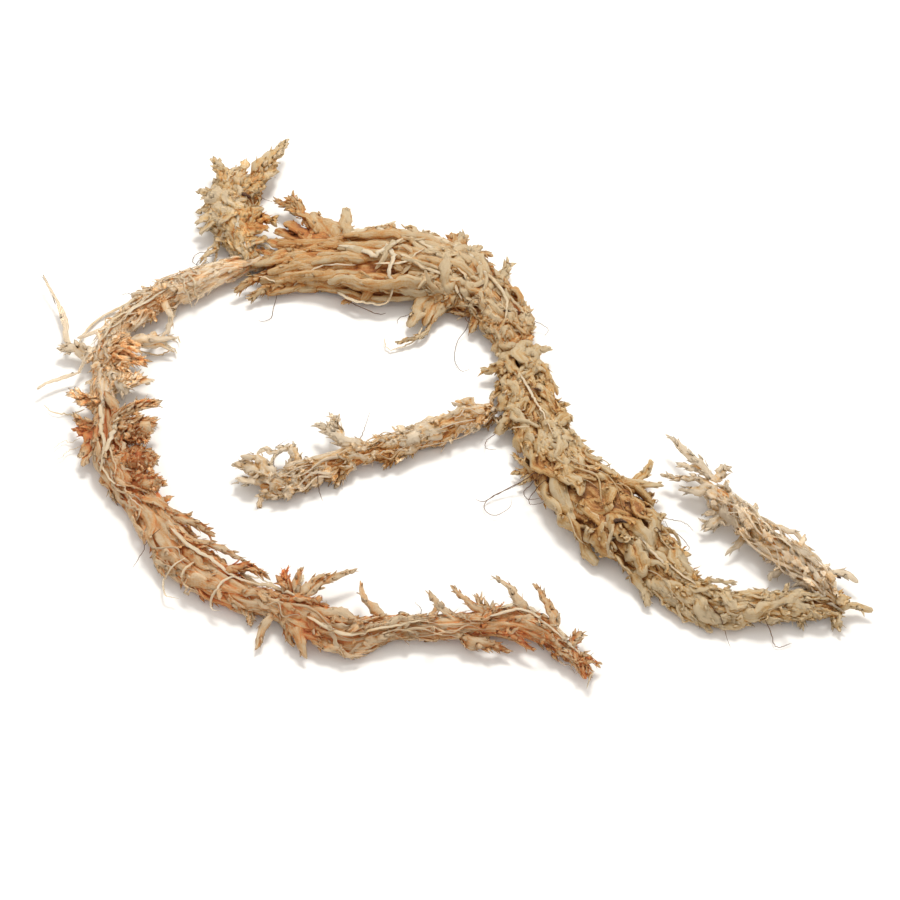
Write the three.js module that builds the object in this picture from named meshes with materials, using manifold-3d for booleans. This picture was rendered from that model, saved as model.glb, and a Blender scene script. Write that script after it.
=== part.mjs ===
// A clump of dried long-fibred sphagnum moss: seven leafy shoots that lie tangled on a flat surface.
// Each shoot is one solid: a rope-like core (the stem with its hanging branches pressed to it) that
// tapered, scaly side branches stand out of, some of them ending in a tuft of pointed leaves.
// Millimetres, +Z up, origin on the surface under the middle of the clump's footprint.

import * as THREE from "three";
import { mergeVertices } from "three/addons/utils/BufferGeometryUtils.js";
import Module from "manifold-3d";

const wasm = await Module();
wasm.setup();

// ---------------------------------------------------------------- driving dimensions

const FOOTPRINT_MIDDLE = new THREE.Vector3(-3.5, 17.3, 0); // taken off every point of the tables
const SHOOT_GAP = 0.5; // clearance between two shoots that cross
const GOLDEN_ANGLE = THREE.MathUtils.degToRad(137.5); // how moss branches follow each other round a stem

// Half the height of a packed shoot: at least this, and more by this share of its half width.
const HEIGHT = { least: 1.5, share: 0.35 };
// The core: its step along the shoot, its size and its hollows' size as shares of the packed
// outline, and how it narrows at both ends: to a share, over one part in endRun of its length.
const CORE = { sides: 8, step: 3.8, share: 0.85, hollow: 0.74, endShare: 0.45, endRun: 4 };
// A branch: thinner than wide by flat, narrower at its root, tapering to its tip by this power.
const BRANCH = { sides: 4, rings: 4, flat: 0.8, rootShare: 0.7, taper: 0.35 };
const ROOT = { share: 0.45, tries: 120 }; // how far out of the core a root may lie
// Branches placed by rule: how far each strays from its angle at the root and on to its tip, its
// bow, and the tip's least height in radii.
const RULED = { stray: 0.4, drift: 0.35, rise: 0.5, tipHeight: 0.8 };
const LEAF_LEAN = 1.1; // how far a leaf tip points ahead, for each millimetre that it stands out
const WELD = 1e-4; // points closer than this are one
const MELT = 0.15; // finer slivers that a union leaves are melted away

const halfHeight = (halfWidth) => HEIGHT.least + HEIGHT.share * halfWidth;

// ---------------------------------------------------------------- the seven shoots
// path: [x, y, half width, clearance under it], from the base to the growing tip.
// branches: [root x, y, z, tip x, y, z, sideways bow, upward bow, radius, reach of its leaf tips].
// fill: branches placed by rule: how many, least and most length and radius, how far their tips
// lift off the outline as a share of it, and the reach of their leaf tips.

const SHOOTS = [
  {
    name: "crown_shoot",
    colour: 0xcdb084,
    seed: 11,
    path: [
      [-49, 57.5, 2.4, 0.5], [-51, 63, 3.4, 0.5], [-53, 69, 5.2, 0.5],
      [-54, 75, 6.5, 0.5], [-53, 81, 6.0, 0.3], [-50.5, 87, 4.4, 0.2],
    ],
    fill: { count: 6, length: [7, 10], radius: [1.3, 1.8], lift: 0.5, reach: 0.5 },
    branches: [
      [-50, 82, 6.0, -41.5, 98, 5.0, -0.6, 0.5, 2.2, 1.0],
      [-48, 78, 5.0, -43.5, 91, 3.5, -0.4, 0.5, 1.9, 0.8],
      [-54, 82, 6.0, -58.0, 90, 5.0, 0.8, 0.5, 1.7, 1.0],
      [-53, 84, 5.0, -53.0, 92, 4.0, 0.0, 0.5, 1.8, 1.0],
      [-56, 76, 7.0, -61.5, 78, 5.0, 0.5, 1.0, 1.7, 0.8],
      [-56, 72, 6.0, -63.0, 71, 4.0, 0.5, 1.0, 2.0, 0.8],
      [-56, 70, 5.0, -62.0, 64, 3.5, -0.5, 1.0, 2.0, 0.8],
      [-56, 69, 3.5, -60.5, 57, 2.0, 0.8, 0.2, 1.2, 0.3],
      [-50, 75, 6.5, -46.0, 80, 6.5, 0.4, 0.8, 1.4, 0.8],
      [-51, 67, 6.0, -41.5, 75, 6.0, 0.8, 1.0, 1.6, 1.2],
      [-51, 66, 5.5, -38.5, 70, 6.0, 0.5, 1.0, 2.0, 1.4],
      [-50, 62, 5.0, -39.0, 64.5, 6.5, 0.3, 0.6, 2.0, 1.2],
      [-53, 72, 9.0, -57.0, 66, 8.0, 0.5, 0.8, 1.5, 0.3],
      [-54, 80, 9.0, -58.5, 84, 7.5, 0.5, 0.6, 1.6, 0.8],
    ],
  },
  {
    name: "north_shoot",
    colour: 0xcfa878,
    seed: 23,
    path: [
      [15.5, 27, 3.8, -0.25], [14, 35, 5.6, -0.25], [10, 43, 7.0, -0.25], [2, 50, 8.8, -0.25],
      [-7, 53.5, 10.2, -0.25], [-17, 54.5, 10.8, -0.25], [-27, 55.5, 9.0, -0.25], [-37, 55, 6.4, 0.0],
      [-44, 53, 4.4, 0.4],
    ],
    fill: { count: 8, length: [10, 15], radius: [1.2, 1.7], lift: 0.15, reach: 0.5 },
    branches: [
      [-28, 60, 6.0, -40.5, 76.5, 4.0, -1.5, 0.5, 2.2, 1.0],
      [-28, 61, 5.5, -32.0, 73, 5.0, 0.8, 0.8, 2.1, 0.8],
      [-24, 60, 6.0, -25.5, 74, 5.5, 0.3, 0.0, 2.0, 0.3],
      [-22, 60, 7.0, -13.5, 66, 6.0, 0.8, 0.8, 1.1, 0.3],
      [-22, 47, 2.4, -44.0, 46.5, 2.2, -1.2, 0.3, 1.6, 0.8],
      [-14, 48, 4.0, -36.0, 50, 4.4, -0.8, 0.5, 1.8, 0.3],
      [-18, 52, 6.6, -42.0, 52.5, 5.4, -0.6, 0.6, 1.5, 0.8],
      [-12, 55, 8.6, -34.0, 57, 7.0, 0.6, 0.6, 1.7, 0.3],
      [-18, 60, 8.0, -42.0, 60.5, 5.4, 1.2, 0.8, 2.0, 1.2],
      [-8, 60, 7.0, -28.0, 63, 5.0, 1.0, 0.8, 1.8, 0.3],
      [-38, 54, 4.0, -51.5, 46.5, 2.8, -0.8, 0.3, 1.3, 1.2],
      [-36, 51, 3.4, -48.0, 44.5, 2.2, -0.5, 0.2, 1.3, 1.0],
      [-9, 49, 4.0, -26.0, 43.5, 2.0, -1.5, 0.2, 1.3, 0.3],
      [-10, 52, 7.0, -21.0, 43, 3.4, -1.2, 0.8, 2.2, 0.3],
      [-2, 47, 3.5, -9.5, 35, 2.3, -0.8, 0.6, 2.6, 0.8],
      [-1, 46, 3.0, -4.5, 37, 2.0, 0.4, 0.4, 1.9, 0.3],
      [-4.5, 38, 2.0, -13.0, 31.5, 1.6, 2.2, 0.0, 0.8, 0.3],
      [2, 55, 6.0, 2.0, 65.5, 4.0, 0.5, 0.6, 2.1, 1.0],
      [-6, 56, 7.0, -7.5, 66.5, 5.0, 0.5, 0.6, 2.2, 0.8],
      [4, 56, 6.5, 10.5, 56.5, 5.0, 1.6, 0.4, 1.4, 0.5],
      [-2, 54, 8.5, 6.0, 57, 6.5, 0.8, 0.6, 1.7, 0.3],
      [11, 45, 4.0, 14.5, 56, 3.4, 0.5, 0.4, 1.7, 1.0],
      [0, 50, 8.5, 10.0, 44, 6.5, 0.9, 0.8, 1.4, 0.3],
      [4, 46, 6.5, 13.0, 36, 5.5, 1.0, 0.8, 1.5, 0.3],
      [8, 42, 3.5, 5.0, 34, 2.0, -0.5, 0.4, 1.4, 0.8],
      [14, 36, 4.0, 19.5, 33, 4.0, 0.5, 0.6, 2.0, 0.5],
    ],
  },
  {
    name: "west_shoot",
    colour: 0xd2b48c,
    seed: 101,
    path: [
      [-48, 56, 2.8, 1.0], [-58, 51, 4.2, 1.0], [-66, 46, 4.6, 1.0], [-72, 41, 3.6, 1.0],
      [-77, 34.5, 3.4, 1.0], [-79, 27, 4.0, 0.5], [-79, 19, 3.4, 0.4], [-78, 9, 3.2, 0.4],
    ],
    fill: { count: 5, length: [7, 11], radius: [1.1, 1.6], lift: 0.3, reach: 0.5 },
    branches: [
      [-53, 56, 4.0, -67.0, 49.5, 4.5, 1.0, 0.8, 1.7, 0.3],
      [-55, 51, 3.0, -67.0, 42.5, 2.4, 1.0, 0.4, 1.5, 0.3],
      [-65, 47, 4.5, -75.5, 44, 4.0, 0.8, 0.8, 1.9, 1.2],
      [-68, 43, 4.5, -67.5, 31.5, 3.0, 2.6, 0.6, 1.0, 0.3],
      [-75, 27, 3.5, -63.5, 31, 3.4, 0.8, 0.6, 1.6, 0.8],
      [-73, 29, 3.0, -64.0, 28, 2.0, 0.8, 0.4, 0.8, 0.3],
      [-70, 44, 4.2, -87.0, 31, 3.6, 2.6, 0.8, 0.9, 0.3],
      [-70, 40, 3.6, -83.5, 26, 3.0, 1.5, 0.6, 0.8, 0.3],
      [-69, 41, 3.6, -77.0, 33, 3.0, -1.6, 0.6, 2.1, 0.3],
      [-80, 26, 3.0, -91.0, 28, 3.0, -0.5, 0.2, 1.9, 1.0],
      [-89.5, 28, 3.0, -96.0, 51, 5.0, -0.6, 0.0, 1.5, 0.3],
      [-79, 30, 3.5, -85.5, 19.5, 2.8, -1.6, 0.2, 1.0, 0.3],
      [-84.8, 20.8, 2.9, -94.0, 15.5, 3.0, -0.6, 0.0, 0.9, 0.3],
      [-79, 28, 4.5, -69.5, 23.5, 4.6, 0.8, 0.8, 2.3, 1.6],
      [-79, 24, 4.0, -73.0, 18.5, 4.0, 0.8, 0.8, 2.1, 1.4],
      [-79, 31, 4.5, -71.5, 29, 4.8, 0.8, 0.6, 1.9, 1.4],
      [-79, 20, 4.0, -73.5, 13, 4.0, 1.0, 0.8, 2.0, 1.0],
      [-77, 14, 4.0, -70.5, 18.5, 4.2, 0.8, 0.6, 1.9, 1.4],
      [-79, 11, 3.6, -86.5, 13.5, 4.2, 0.6, 0.4, 1.7, 1.4],
    ],
  },
  {
    name: "south_shoot",
    colour: 0xcb9a6a,
    seed: 79,
    path: [
      [-78, 10, 3.8, 0.5], [-76, 0, 4.6, 0.5], [-73.5, -8, 5.0, 0.0], [-69, -15, 4.8, -0.25],
      [-64, -22, 5.0, -0.25], [-59, -30, 6.0, -0.25], [-52, -37, 5.6, -0.25], [-44, -42.5, 4.6, -0.25],
      [-36, -45, 3.8, 0.3], [-29, -49, 5.6, -0.25], [-21, -52.5, 4.6, -0.25], [-13, -51, 3.0, 0.5],
      [-4, -50.5, 3.0, 0.5], [5, -50, 3.6, 0.5], [13, -49.5, 4.2, 0.5], [20, -52.5, 3.2, 0.5],
      [25, -57.5, 2.4, 0.5], [28, -63, 1.8, 0.3],
    ],
    fill: { count: 8, length: [8, 12], radius: [1.1, 1.6], lift: 0.25, reach: 0.5 },
    branches: [
      [-78, -1, 3.5, -84.0, 4.5, 4.0, 0.5, 0.6, 2.0, 1.4],
      [-78, 1, 3.5, -82.0, -5, 2.6, -0.8, 0.4, 1.5, 0.3],
      [-76, 5, 4.5, -65.5, 9.5, 5.0, 0.6, 0.8, 1.8, 1.4],
      [-76, 2, 5.0, -65.5, 4, 4.4, 0.4, 0.8, 2.2, 1.4],
      [-75, -2, 5.0, -65.0, -3, 4.0, 0.5, 1.0, 2.5, 1.0],
      [-74, -7, 5.0, -63.5, -10, 3.6, 0.8, 0.8, 2.5, 1.2],
      [-71, -11, 4.5, -63.5, -16, 3.4, 0.8, 0.8, 2.4, 0.8],
      [-74, 9, 5.0, -77.5, -8, 5.6, 0.8, 0.6, 1.0, 0.3],
      [-66, -18, 4.0, -50.5, -27.5, 3.6, 0.0, 0.8, 2.0, 1.2],
      [-57, -27, 5.0, -42.5, -34.5, 3.6, -0.2, 0.6, 1.7, 0.8],
      [-62, -24, 5.5, -55.0, -35, 5.0, 0.8, 0.6, 1.8, 0.3],
      [-62, -25, 3.0, -60.5, -38, 2.4, -0.8, 0.2, 2.1, 0.3],
      [-52, -35, 5.0, -46.0, -44, 3.2, -0.8, 0.4, 2.0, 0.8],
      [-50, -37, 5.0, -38.5, -38.5, 4.4, 0.8, 0.6, 1.8, 1.0],
      [-45, -41, 3.5, -41.5, -48.5, 1.8, 0.4, 0.2, 1.3, 1.0],
      [-37, -44, 3.0, -40.5, -55.5, 1.4, 0.4, 0.4, 1.4, 0.3],
      [-33, -44, 4.5, -35.0, -37.5, 5.0, 0.3, 0.4, 1.4, 1.0],
      [-32, -44, 5.0, -31.5, -37, 5.6, 0.0, 0.4, 1.2, 0.3],
      [-31, -44, 5.0, -25.0, -38, 5.0, 1.0, 0.6, 1.4, 0.3],
      [-31, -43, 5.0, -19.5, -36.5, 4.4, 0.8, 0.4, 1.3, 0.5],
      [-34, -44, 5.0, -27.5, -46.5, 5.6, 0.5, 0.6, 1.8, 0.3],
      [-31, -46, 4.4, -29.5, -58, 1.9, -1.6, 0.6, 1.8, 0.3],
      [-34, -45, 3.5, -32.5, -55, 1.8, -1.2, 0.4, 1.4, 0.3],
      [-29, -47, 5.5, -16.0, -53.5, 4.0, 0.8, 0.6, 2.0, 0.3],
      [-29, -51, 3.5, -17.0, -57, 1.9, -3.0, 0.2, 1.3, 0.3],
      [-13, -50, 3.5, -19.0, -40, 5.0, 1.2, 0.0, 1.3, 0.3],
      [-16, -52, 4.2, -8.0, -49.5, 4.0, 0.6, 0.4, 1.5, 0.3],
      [0, -50, 4.0, -7.0, -49, 4.2, 0.0, 0.2, 1.1, 0.3],
      [2, -50, 4.0, -4.5, -42.5, 5.0, 0.6, 0.2, 1.5, 0.5],
      [9, -50, 5.0, 0.0, -41.5, 5.4, 0.4, 0.6, 1.3, 0.3],
      [9, -50, 4.0, 6.0, -44, 4.4, 0.4, 0.4, 1.5, 1.0],
      [18, -49, 5.0, 8.5, -39.5, 6.0, -0.6, 0.4, 1.4, 0.5],
      [16, -50, 4.4, 14.0, -45, 4.8, 0.2, 0.2, 1.4, 0.8],
      [22, -53, 3.6, 18.0, -40.5, 5.0, -0.6, 0.4, 1.5, 0.8],
      [0, -52, 3.2, 12.5, -56.5, 2.0, -0.6, 0.4, 1.7, 1.0],
      [9, -51, 3.6, 17.5, -57, 3.0, 0.4, 0.4, 1.7, 1.4],
      [6, -50, 5.2, 21.5, -52.5, 4.4, 1.8, 0.6, 1.4, 0.3],
      [23, -56, 3.0, 27.5, -52, 3.4, -0.5, 0.0, 1.4, 0.5],
      [25, -59, 2.6, 31.0, -59.5, 2.6, 0.5, 0.2, 1.2, 0.5],
    ],
  },
  {
    name: "inner_shoot",
    colour: 0xc8b28c,
    seed: 71,
    path: [
      [10, 9, 2.8, 0.8], [4, 6.4, 3.8, 0.5], [-4, 2.4, 4.4, 0.0], [-12, -0.6, 4.4, -0.25],
      [-20, -4, 3.2, 0.3], [-28, -8, 3.6, 0.0], [-36, -11.6, 3.8, -0.25], [-42, -12.2, 3.6, -0.25],
    ],
    fill: { count: 5, length: [7, 11], radius: [1.1, 1.5], lift: 0.2, reach: 0.5 },
    branches: [
      [6, 8, 4.0, -0.5, 9, 4.0, 1.2, 0.6, 1.6, 0.3],
      [2, 6, 4.6, -10.5, 5, 4.6, 1.0, 0.4, 1.2, 0.3],
      [-4, 3, 4.6, -14.0, -3, 3.0, -0.8, 0.6, 2.0, 0.8],
      [-10, 0, 3.0, -14.5, -6.5, 1.6, -0.4, 0.2, 1.2, 1.2],
      [-19, -2.5, 4.0, -30.5, 3.5, 4.6, 0.5, 0.4, 1.6, 1.2],
      [-23, 0, 4.4, -27.5, 6, 4.4, 0.5, 0.4, 1.1, 1.0],
      [-24, -6, 3.0, -23.0, -11.5, 1.6, 0.4, 0.2, 1.4, 1.0],
      [-34, -9, 3.6, -35.0, -3, 5.0, 0.4, 0.2, 1.4, 0.5],
      [-34.6, -4.4, 4.6, -42.0, -5.5, 4.0, -0.8, 0.0, 1.1, 0.3],
      [-39, -11, 3.0, -48.0, -7.5, 3.6, -1.0, 0.2, 1.9, 1.0],
      [-41, -12, 3.0, -47.0, -12, 2.6, -0.6, 0.2, 1.6, 0.8],
      [-31, -9, 3.0, -42.0, -14.5, 1.6, -1.2, 0.2, 1.4, 0.3],
    ],
  },
  {
    name: "east_shoot",
    colour: 0xc9a97c,
    seed: 103,
    path: [
      [16, 26, 5.0, -0.25], [16.5, 18, 6.6, -0.25], [19, 9, 7.2, -0.25], [21, 0, 6.8, -0.25],
      [25, -9, 8.4, -0.25], [31, -17.5, 9.8, -0.25], [38, -26, 9.0, -0.25], [44, -34, 6.4, -0.25],
      [49, -41, 5.0, -0.25], [56, -45.5, 4.2, -0.25], [64, -46, 3.6, 0.3], [73, -45, 3.4, 0.5],
      [81, -45.5, 2.8, 0.3],
    ],
    fill: { count: 8, length: [10, 14], radius: [1.2, 1.7], lift: 0.15, reach: 0.5 },
    branches: [
      [15.5, 20, 4.0, 7.0, 21.5, 3.0, -0.4, 0.3, 1.4, 0.8],
      [14, 21, 3.0, 9.0, 13.5, 1.8, 0.6, 0.2, 1.7, 0.8],
      [17, 21, 5.0, 23.5, 28, 3.8, 0.8, 0.6, 2.0, 0.8],
      [19, 25, 4.0, 24.5, 14, 2.6, 1.2, 0.4, 1.0, 0.3],
      [22, 9, 4.0, 26.0, 10.5, 3.0, 0.4, 0.2, 1.2, 1.2],
      [17, 12, 6.0, 11.0, 2, 2.6, -0.6, 0.6, 1.9, 0.5],
      [16, 13, 5.6, 11.0, 8, 4.0, -0.6, 0.6, 1.4, 0.3],
      [12, 12, 6.2, 23.0, 1, 5.6, 1.0, 0.6, 1.1, 0.3],
      [22, 0, 5.5, 24.5, -15, 6.0, -0.6, 0.8, 1.4, 0.3],
      [22, -1, 6.2, 29.0, -17, 6.6, 2.0, 0.8, 1.8, 0.3],
      [31, -9, 7.0, 30.0, -19, 6.0, 1.2, 0.6, 1.3, 0.3],
      [24, 2, 5.0, 29.0, -6, 4.4, 0.8, 0.6, 1.8, 0.3],
      [23, -7, 3.0, 14.0, -8.5, 2.0, -0.5, 0.2, 1.4, 0.8],
      [16.5, -8.4, 2.2, 13.8, -2.5, 2.4, 0.6, 0.0, 1.0, 0.3],
      [24, -10, 3.0, 15.0, -11.5, 1.6, -0.6, 0.2, 1.1, 0.8],
      [31, -14, 7.0, 47.0, -14, 4.4, 0.6, 0.4, 1.6, 0.3],
      [43.8, -14, 4.4, 44.5, -6.5, 4.6, 0.0, 0.0, 1.3, 0.3],
      [31, -12, 7.2, 38.5, -21, 6.0, 1.6, 0.6, 1.4, 0.8],
      [28, -4, 4.0, 37.0, -9.5, 2.8, 0.8, 0.4, 1.5, 0.3],
      [41, -22, 3.4, 44.5, -14.5, 2.6, 0.4, 0.2, 1.2, 0.8],
      [42, -27, 3.4, 47.0, -20, 2.2, 0.4, 0.2, 1.4, 0.8],
      [25, -15, 4.0, 31.5, -34, 2.0, -1.2, 0.2, 1.7, 0.5],
      [29, -18, 7.6, 44.0, -31, 6.0, -1.0, 0.6, 1.4, 0.8],
      [38, -33, 3.4, 42.0, -44.5, 1.6, -0.4, 0.2, 1.6, 0.8],
      [47, -41, 3.0, 55.0, -51, 1.4, -0.6, 0.2, 1.4, 0.8],
      [51, -41, 3.4, 61.0, -39.5, 3.6, 0.8, 0.2, 1.0, 0.3],
      [70, -44, 4.0, 57.0, -43.5, 4.4, -0.4, 0.4, 1.3, 0.3],
      [79, -45, 3.0, 89.0, -46, 2.4, 0.3, 0.0, 1.1, 0.3],
      [80, -45, 2.8, 81.5, -50, 1.4, 0.3, 0.0, 1.3, 0.8],
      [73, -44, 2.6, 73.5, -49, 1.2, 0.3, 0.0, 1.2, 1.0],
      [45, -36, 5.0, 37.5, -31, 3.6, 0.8, 0.4, 1.3, 0.8],
    ],
  },
  {
    name: "tail_shoot",
    colour: 0xd0b68c,
    seed: 101,
    path: [
      [80.5, -43, 3.4, 0.8], [74.5, -35.5, 4.6, 0.9], [68.5, -28.5, 4.8, 1.0], [62.5, -21.5, 4.6, 1.2],
      [57.5, -14.5, 3.8, 1.4],
    ],
    fill: { count: 4, length: [8, 11], radius: [1.1, 1.5], lift: 0.25, reach: 0.5 },
    branches: [
      [58, -13, 4.6, 48.0, 0.5, 5.0, -0.8, 0.4, 1.5, 0.8],
      [58, -12, 5.0, 62.0, -8.5, 4.6, 0.0, 0.4, 1.3, 0.3],
      [59, -13, 4.6, 50.0, -7.5, 4.4, -0.6, 0.4, 1.1, 0.8],
      [58, -14, 4.2, 46.5, -10, 3.4, -0.5, 0.4, 0.9, 0.8],
      [60, -16, 4.0, 50.0, -14, 3.0, -0.6, 0.4, 1.8, 0.8],
      [63, -21, 3.6, 54.5, -24, 2.4, -0.4, 0.2, 2.0, 1.2],
      [66, -22, 3.2, 62.5, -28.5, 1.8, 0.5, 0.2, 1.2, 0.3],
      [70, -27, 3.6, 59.0, -31.5, 2.0, -1.8, 0.2, 1.2, 0.8],
      [73, -32, 3.2, 68.0, -38, 1.8, -0.4, 0.2, 1.3, 0.3],
      [69, -24, 5.0, 79.5, -34, 3.4, 1.0, 0.4, 1.1, 0.3],
      [73, -30, 5.0, 79.0, -38.5, 4.0, 0.8, 0.4, 1.4, 0.3],
      [76, -35, 4.4, 86.5, -39.5, 3.2, 0.6, 0.2, 1.0, 0.3],
    ],
  },
];

// ---------------------------------------------------------------- seeded draws

// A linear congruential generator: the same seed gives the same clump on every run.
function seededDraw(seed) {
  let state = seed >>> 0;
  return (low = 0, high = 1) => {
    state = (Math.imul(state, 1664525) + 1013904223) >>> 0;
    return low + ((high - low) * state) / 4294967296;
  };
}

// ---------------------------------------------------------------- paths

// The shoot's centre line and half width, smoothly through the rows of its path.
function shootLine(path) {
  const centres = path.map(([x, y, halfWidth, clearance]) => {
    return new THREE.Vector3(x, y, clearance + CORE.share * halfHeight(halfWidth));
  });
  const centre = new THREE.CatmullRomCurve3(centres, false, "catmullrom", 0.5);
  const widths = path.map(([, , halfWidth], i) => new THREE.Vector3(i, halfWidth, 0));
  const width = new THREE.CatmullRomCurve3(widths, false, "catmullrom", 0.5);
  const inside = (t) => THREE.MathUtils.clamp(t, 0, 1);
  return {
    length: centre.getLength(),
    at: (t) => centre.getPoint(inside(t)),
    halfWidth: (t) => width.getPoint(inside(t)).y,
    along: (t) => centre.getTangent(inside(t)),
    side: (t) => {
      const along = centre.getTangent(inside(t));
      return new THREE.Vector3(-along.y, along.x, 0).normalize();
    },
  };
}

// The point at angle phi on the packed shoot's oval outline, share times as far out.
function onOutline(line, t, phi, share) {
  const halfWidth = line.halfWidth(t);
  const point = line.at(t).addScaledVector(line.side(t), share * halfWidth * Math.cos(phi));
  point.z += share * halfHeight(halfWidth) * Math.sin(phi);
  return point;
}

// A branch's root, sunk well into the core beside it. One that grows from another branch stays.
function sunkRoot(line, root) {
  let nearest = 0;
  let gap = Infinity;
  for (let i = 0; i <= ROOT.tries; i++) {
    const centre = line.at(i / ROOT.tries);
    const away = Math.hypot(root.x - centre.x, root.y - centre.y);
    if (away < gap) {
      gap = away;
      nearest = i / ROOT.tries;
    }
  }
  const centre = line.at(nearest);
  const halfWidth = line.halfWidth(nearest);
  if (gap > halfWidth) return root;
  const depth = ROOT.share * halfHeight(halfWidth);
  const sunk = root.clone().sub(centre);
  sunk.multiplyScalar(Math.min(1, (ROOT.share * halfWidth) / Math.max(gap, 0.01))).add(centre);
  sunk.z = THREE.MathUtils.clamp(root.z, centre.z - depth, centre.z + depth);
  return sunk;
}

// ---------------------------------------------------------------- solids

function toSolid(positions, triangles) {
  const geometry = new THREE.BufferGeometry();
  geometry.setAttribute("position", new THREE.Float32BufferAttribute(positions, 3));
  geometry.setIndex(triangles);
  const merged = mergeVertices(geometry, WELD);
  return new wasm.Manifold(
    new wasm.Mesh({
      numProp: 3,
      vertProperties: merged.attributes.position.array,
      triVerts: new Uint32Array(merged.index.array),
    }),
  );
}

// A closed skin over rings of points, with a fan at each end.
function skin(rings, start, end) {
  const sides = rings[0].length;
  const positions = [...rings.flat(), start, end].flatMap((p) => [p.x, p.y, p.z]);
  const startIndex = rings.length * sides;
  const triangles = [];
  for (let i = 0; i < sides; i++) {
    const next = (i + 1) % sides;
    triangles.push(startIndex, next, i);
    for (let ring = 0; ring < rings.length - 1; ring++) {
      const low = ring * sides;
      const high = low + sides;
      triangles.push(low + i, low + next, high + next, low + i, high + next, high + i);
    }
    const last = (rings.length - 1) * sides;
    triangles.push(startIndex + 1, last + i, last + next);
  }
  return toSolid(positions, triangles);
}

// The core: an oval rope raised in staggered knobs, the hanging branches packed round the stem.
function coreSolid(line, grow) {
  const count = Math.round(line.length / CORE.step);
  const start = line.at(0).addScaledVector(line.along(0), -grow);
  const end = line.at(1).addScaledVector(line.along(1), grow);
  const rings = [];
  for (let i = 0; i <= count; i++) {
    const t = i / count;
    const centre = i === 0 ? start : i === count ? end : line.at(t);
    const rounding = Math.min(1, CORE.endShare + CORE.endRun * Math.min(t, 1 - t));
    const ring = [];
    for (let j = 0; j < CORE.sides; j++) {
      const phi = (j / CORE.sides) * 2 * Math.PI;
      const knob = (i + j) % 2 ? 1 : CORE.hollow;
      const outward = onOutline(line, t, phi, CORE.share * rounding * knob).sub(line.at(t));
      ring.push(outward.setLength(outward.length() + grow).add(centre));
    }
    rings.push(ring);
  }
  return skin(rings, start, end);
}

// One side branch: a flattened, tapered body bowed between its root and its tip. Every second
// corner is drawn out and forward, as the tip of a leaf that overlaps the next.
function branchSolid([root, tip, bow, rise, radius, reach], grow, roll) {
  const sideways = new THREE.Vector3(root.y - tip.y, tip.x - root.x, 0).normalize();
  const middle = root.clone().add(tip).multiplyScalar(0.5);
  middle.addScaledVector(sideways, 2 * bow);
  middle.z += 2 * rise;
  const curve = new THREE.QuadraticBezierCurve3(root, middle, tip);
  const rings = [];
  for (let i = 0; i < BRANCH.rings; i++) {
    const t = i / BRANCH.rings;
    const along = curve.getTangent(t);
    const across = new THREE.Vector3(-along.y, along.x, 0).normalize();
    const over = new THREE.Vector3().crossVectors(along, across);
    const taper = Math.min(1, BRANCH.rootShare + t) * Math.pow(1 - t, BRANCH.taper);
    const ring = [];
    for (let j = 0; j < BRANCH.sides; j++) {
      const angle = (j / BRANCH.sides) * 2 * Math.PI + roll;
      const leafTip = i && (i + j) % 2 ? reach : 0;
      const size = radius * taper + leafTip + grow;
      const point = curve.getPoint(t).addScaledVector(along, LEAF_LEAN * leafTip);
      point.addScaledVector(across, size * Math.cos(angle));
      ring.push(point.addScaledVector(over, size * BRANCH.flat * Math.sin(angle)));
    }
    rings.push(ring);
  }
  const end = tip.clone().addScaledVector(curve.getTangent(1), grow);
  return skin(rings, root, end);
}

// Branches placed by rule: one after another round the shoot by the golden angle, each rooted in
// the core and lying forward over its outline.
function ruledBranches(line, fill, draw) {
  const branches = [];
  for (let i = 0; i < fill.count; i++) {
    const length = draw(fill.length[0], fill.length[1]) / line.length;
    const radius = draw(fill.radius[0], fill.radius[1]);
    const t = (i + 0.5) / fill.count - length / 2;
    const phi = i * GOLDEN_ANGLE + draw(-RULED.stray, RULED.stray);
    const tipPhi = phi + draw(-RULED.drift, RULED.drift);
    const root = onOutline(line, t, phi, ROOT.share);
    const tip = onOutline(line, t + length, tipPhi, 1 + draw(0, fill.lift));
    root.z = Math.max(root.z, radius);
    tip.z = Math.max(tip.z, RULED.tipHeight * radius);
    const rise = Math.sin(phi) > 0 ? RULED.rise : 0;
    branches.push([root, tip, 0, rise, radius, fill.reach]);
  }
  return branches;
}

// The branches of the table, each with its root sunk in the core.
function listedBranches(line, rows) {
  return rows.map(([x0, y0, z0, x1, y1, z1, ...shape]) => {
    const root = sunkRoot(line, new THREE.Vector3(x0, y0, z0));
    return [root, new THREE.Vector3(x1, y1, z1), ...shape];
  });
}

// One shoot as one closed body, grown by a margin on every side.
function shootSolid(shoot, grow = 0) {
  const draw = seededDraw(shoot.seed);
  const line = shootLine(shoot.path);
  const branches = [...ruledBranches(line, shoot.fill, draw), ...listedBranches(line, shoot.branches)];
  const solids = branches.map((branch) => branchSolid(branch, grow, draw(0, Math.PI)));
  return wasm.Manifold.union([coreSolid(line, grow), ...solids]);
}

// The largest closed body of a solid, without the scraps and sealed hollows that fusing leaves.
function wholeBody(solid) {
  const bodies = solid.decompose().filter((body) => body.volume() > 0);
  return bodies.reduce((best, body) => (body.volume() > best.volume() ? body : best));
}

function toMesh(name, solid, colour) {
  const { vertProperties, triVerts } = solid.getMesh();
  const geometry = new THREE.BufferGeometry();
  geometry.setAttribute("position", new THREE.BufferAttribute(vertProperties, 3));
  geometry.setIndex(new THREE.BufferAttribute(triVerts, 1));
  geometry.computeVertexNormals();
  const material = new THREE.MeshStandardMaterial({ color: colour, roughness: 0.85, metalness: 0 });
  const mesh = new THREE.Mesh(geometry, material);
  mesh.name = name;
  return mesh;
}

// ---------------------------------------------------------------- the clump

const clump = new THREE.Group();
clump.name = "sphagnum_moss_clump";

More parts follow.
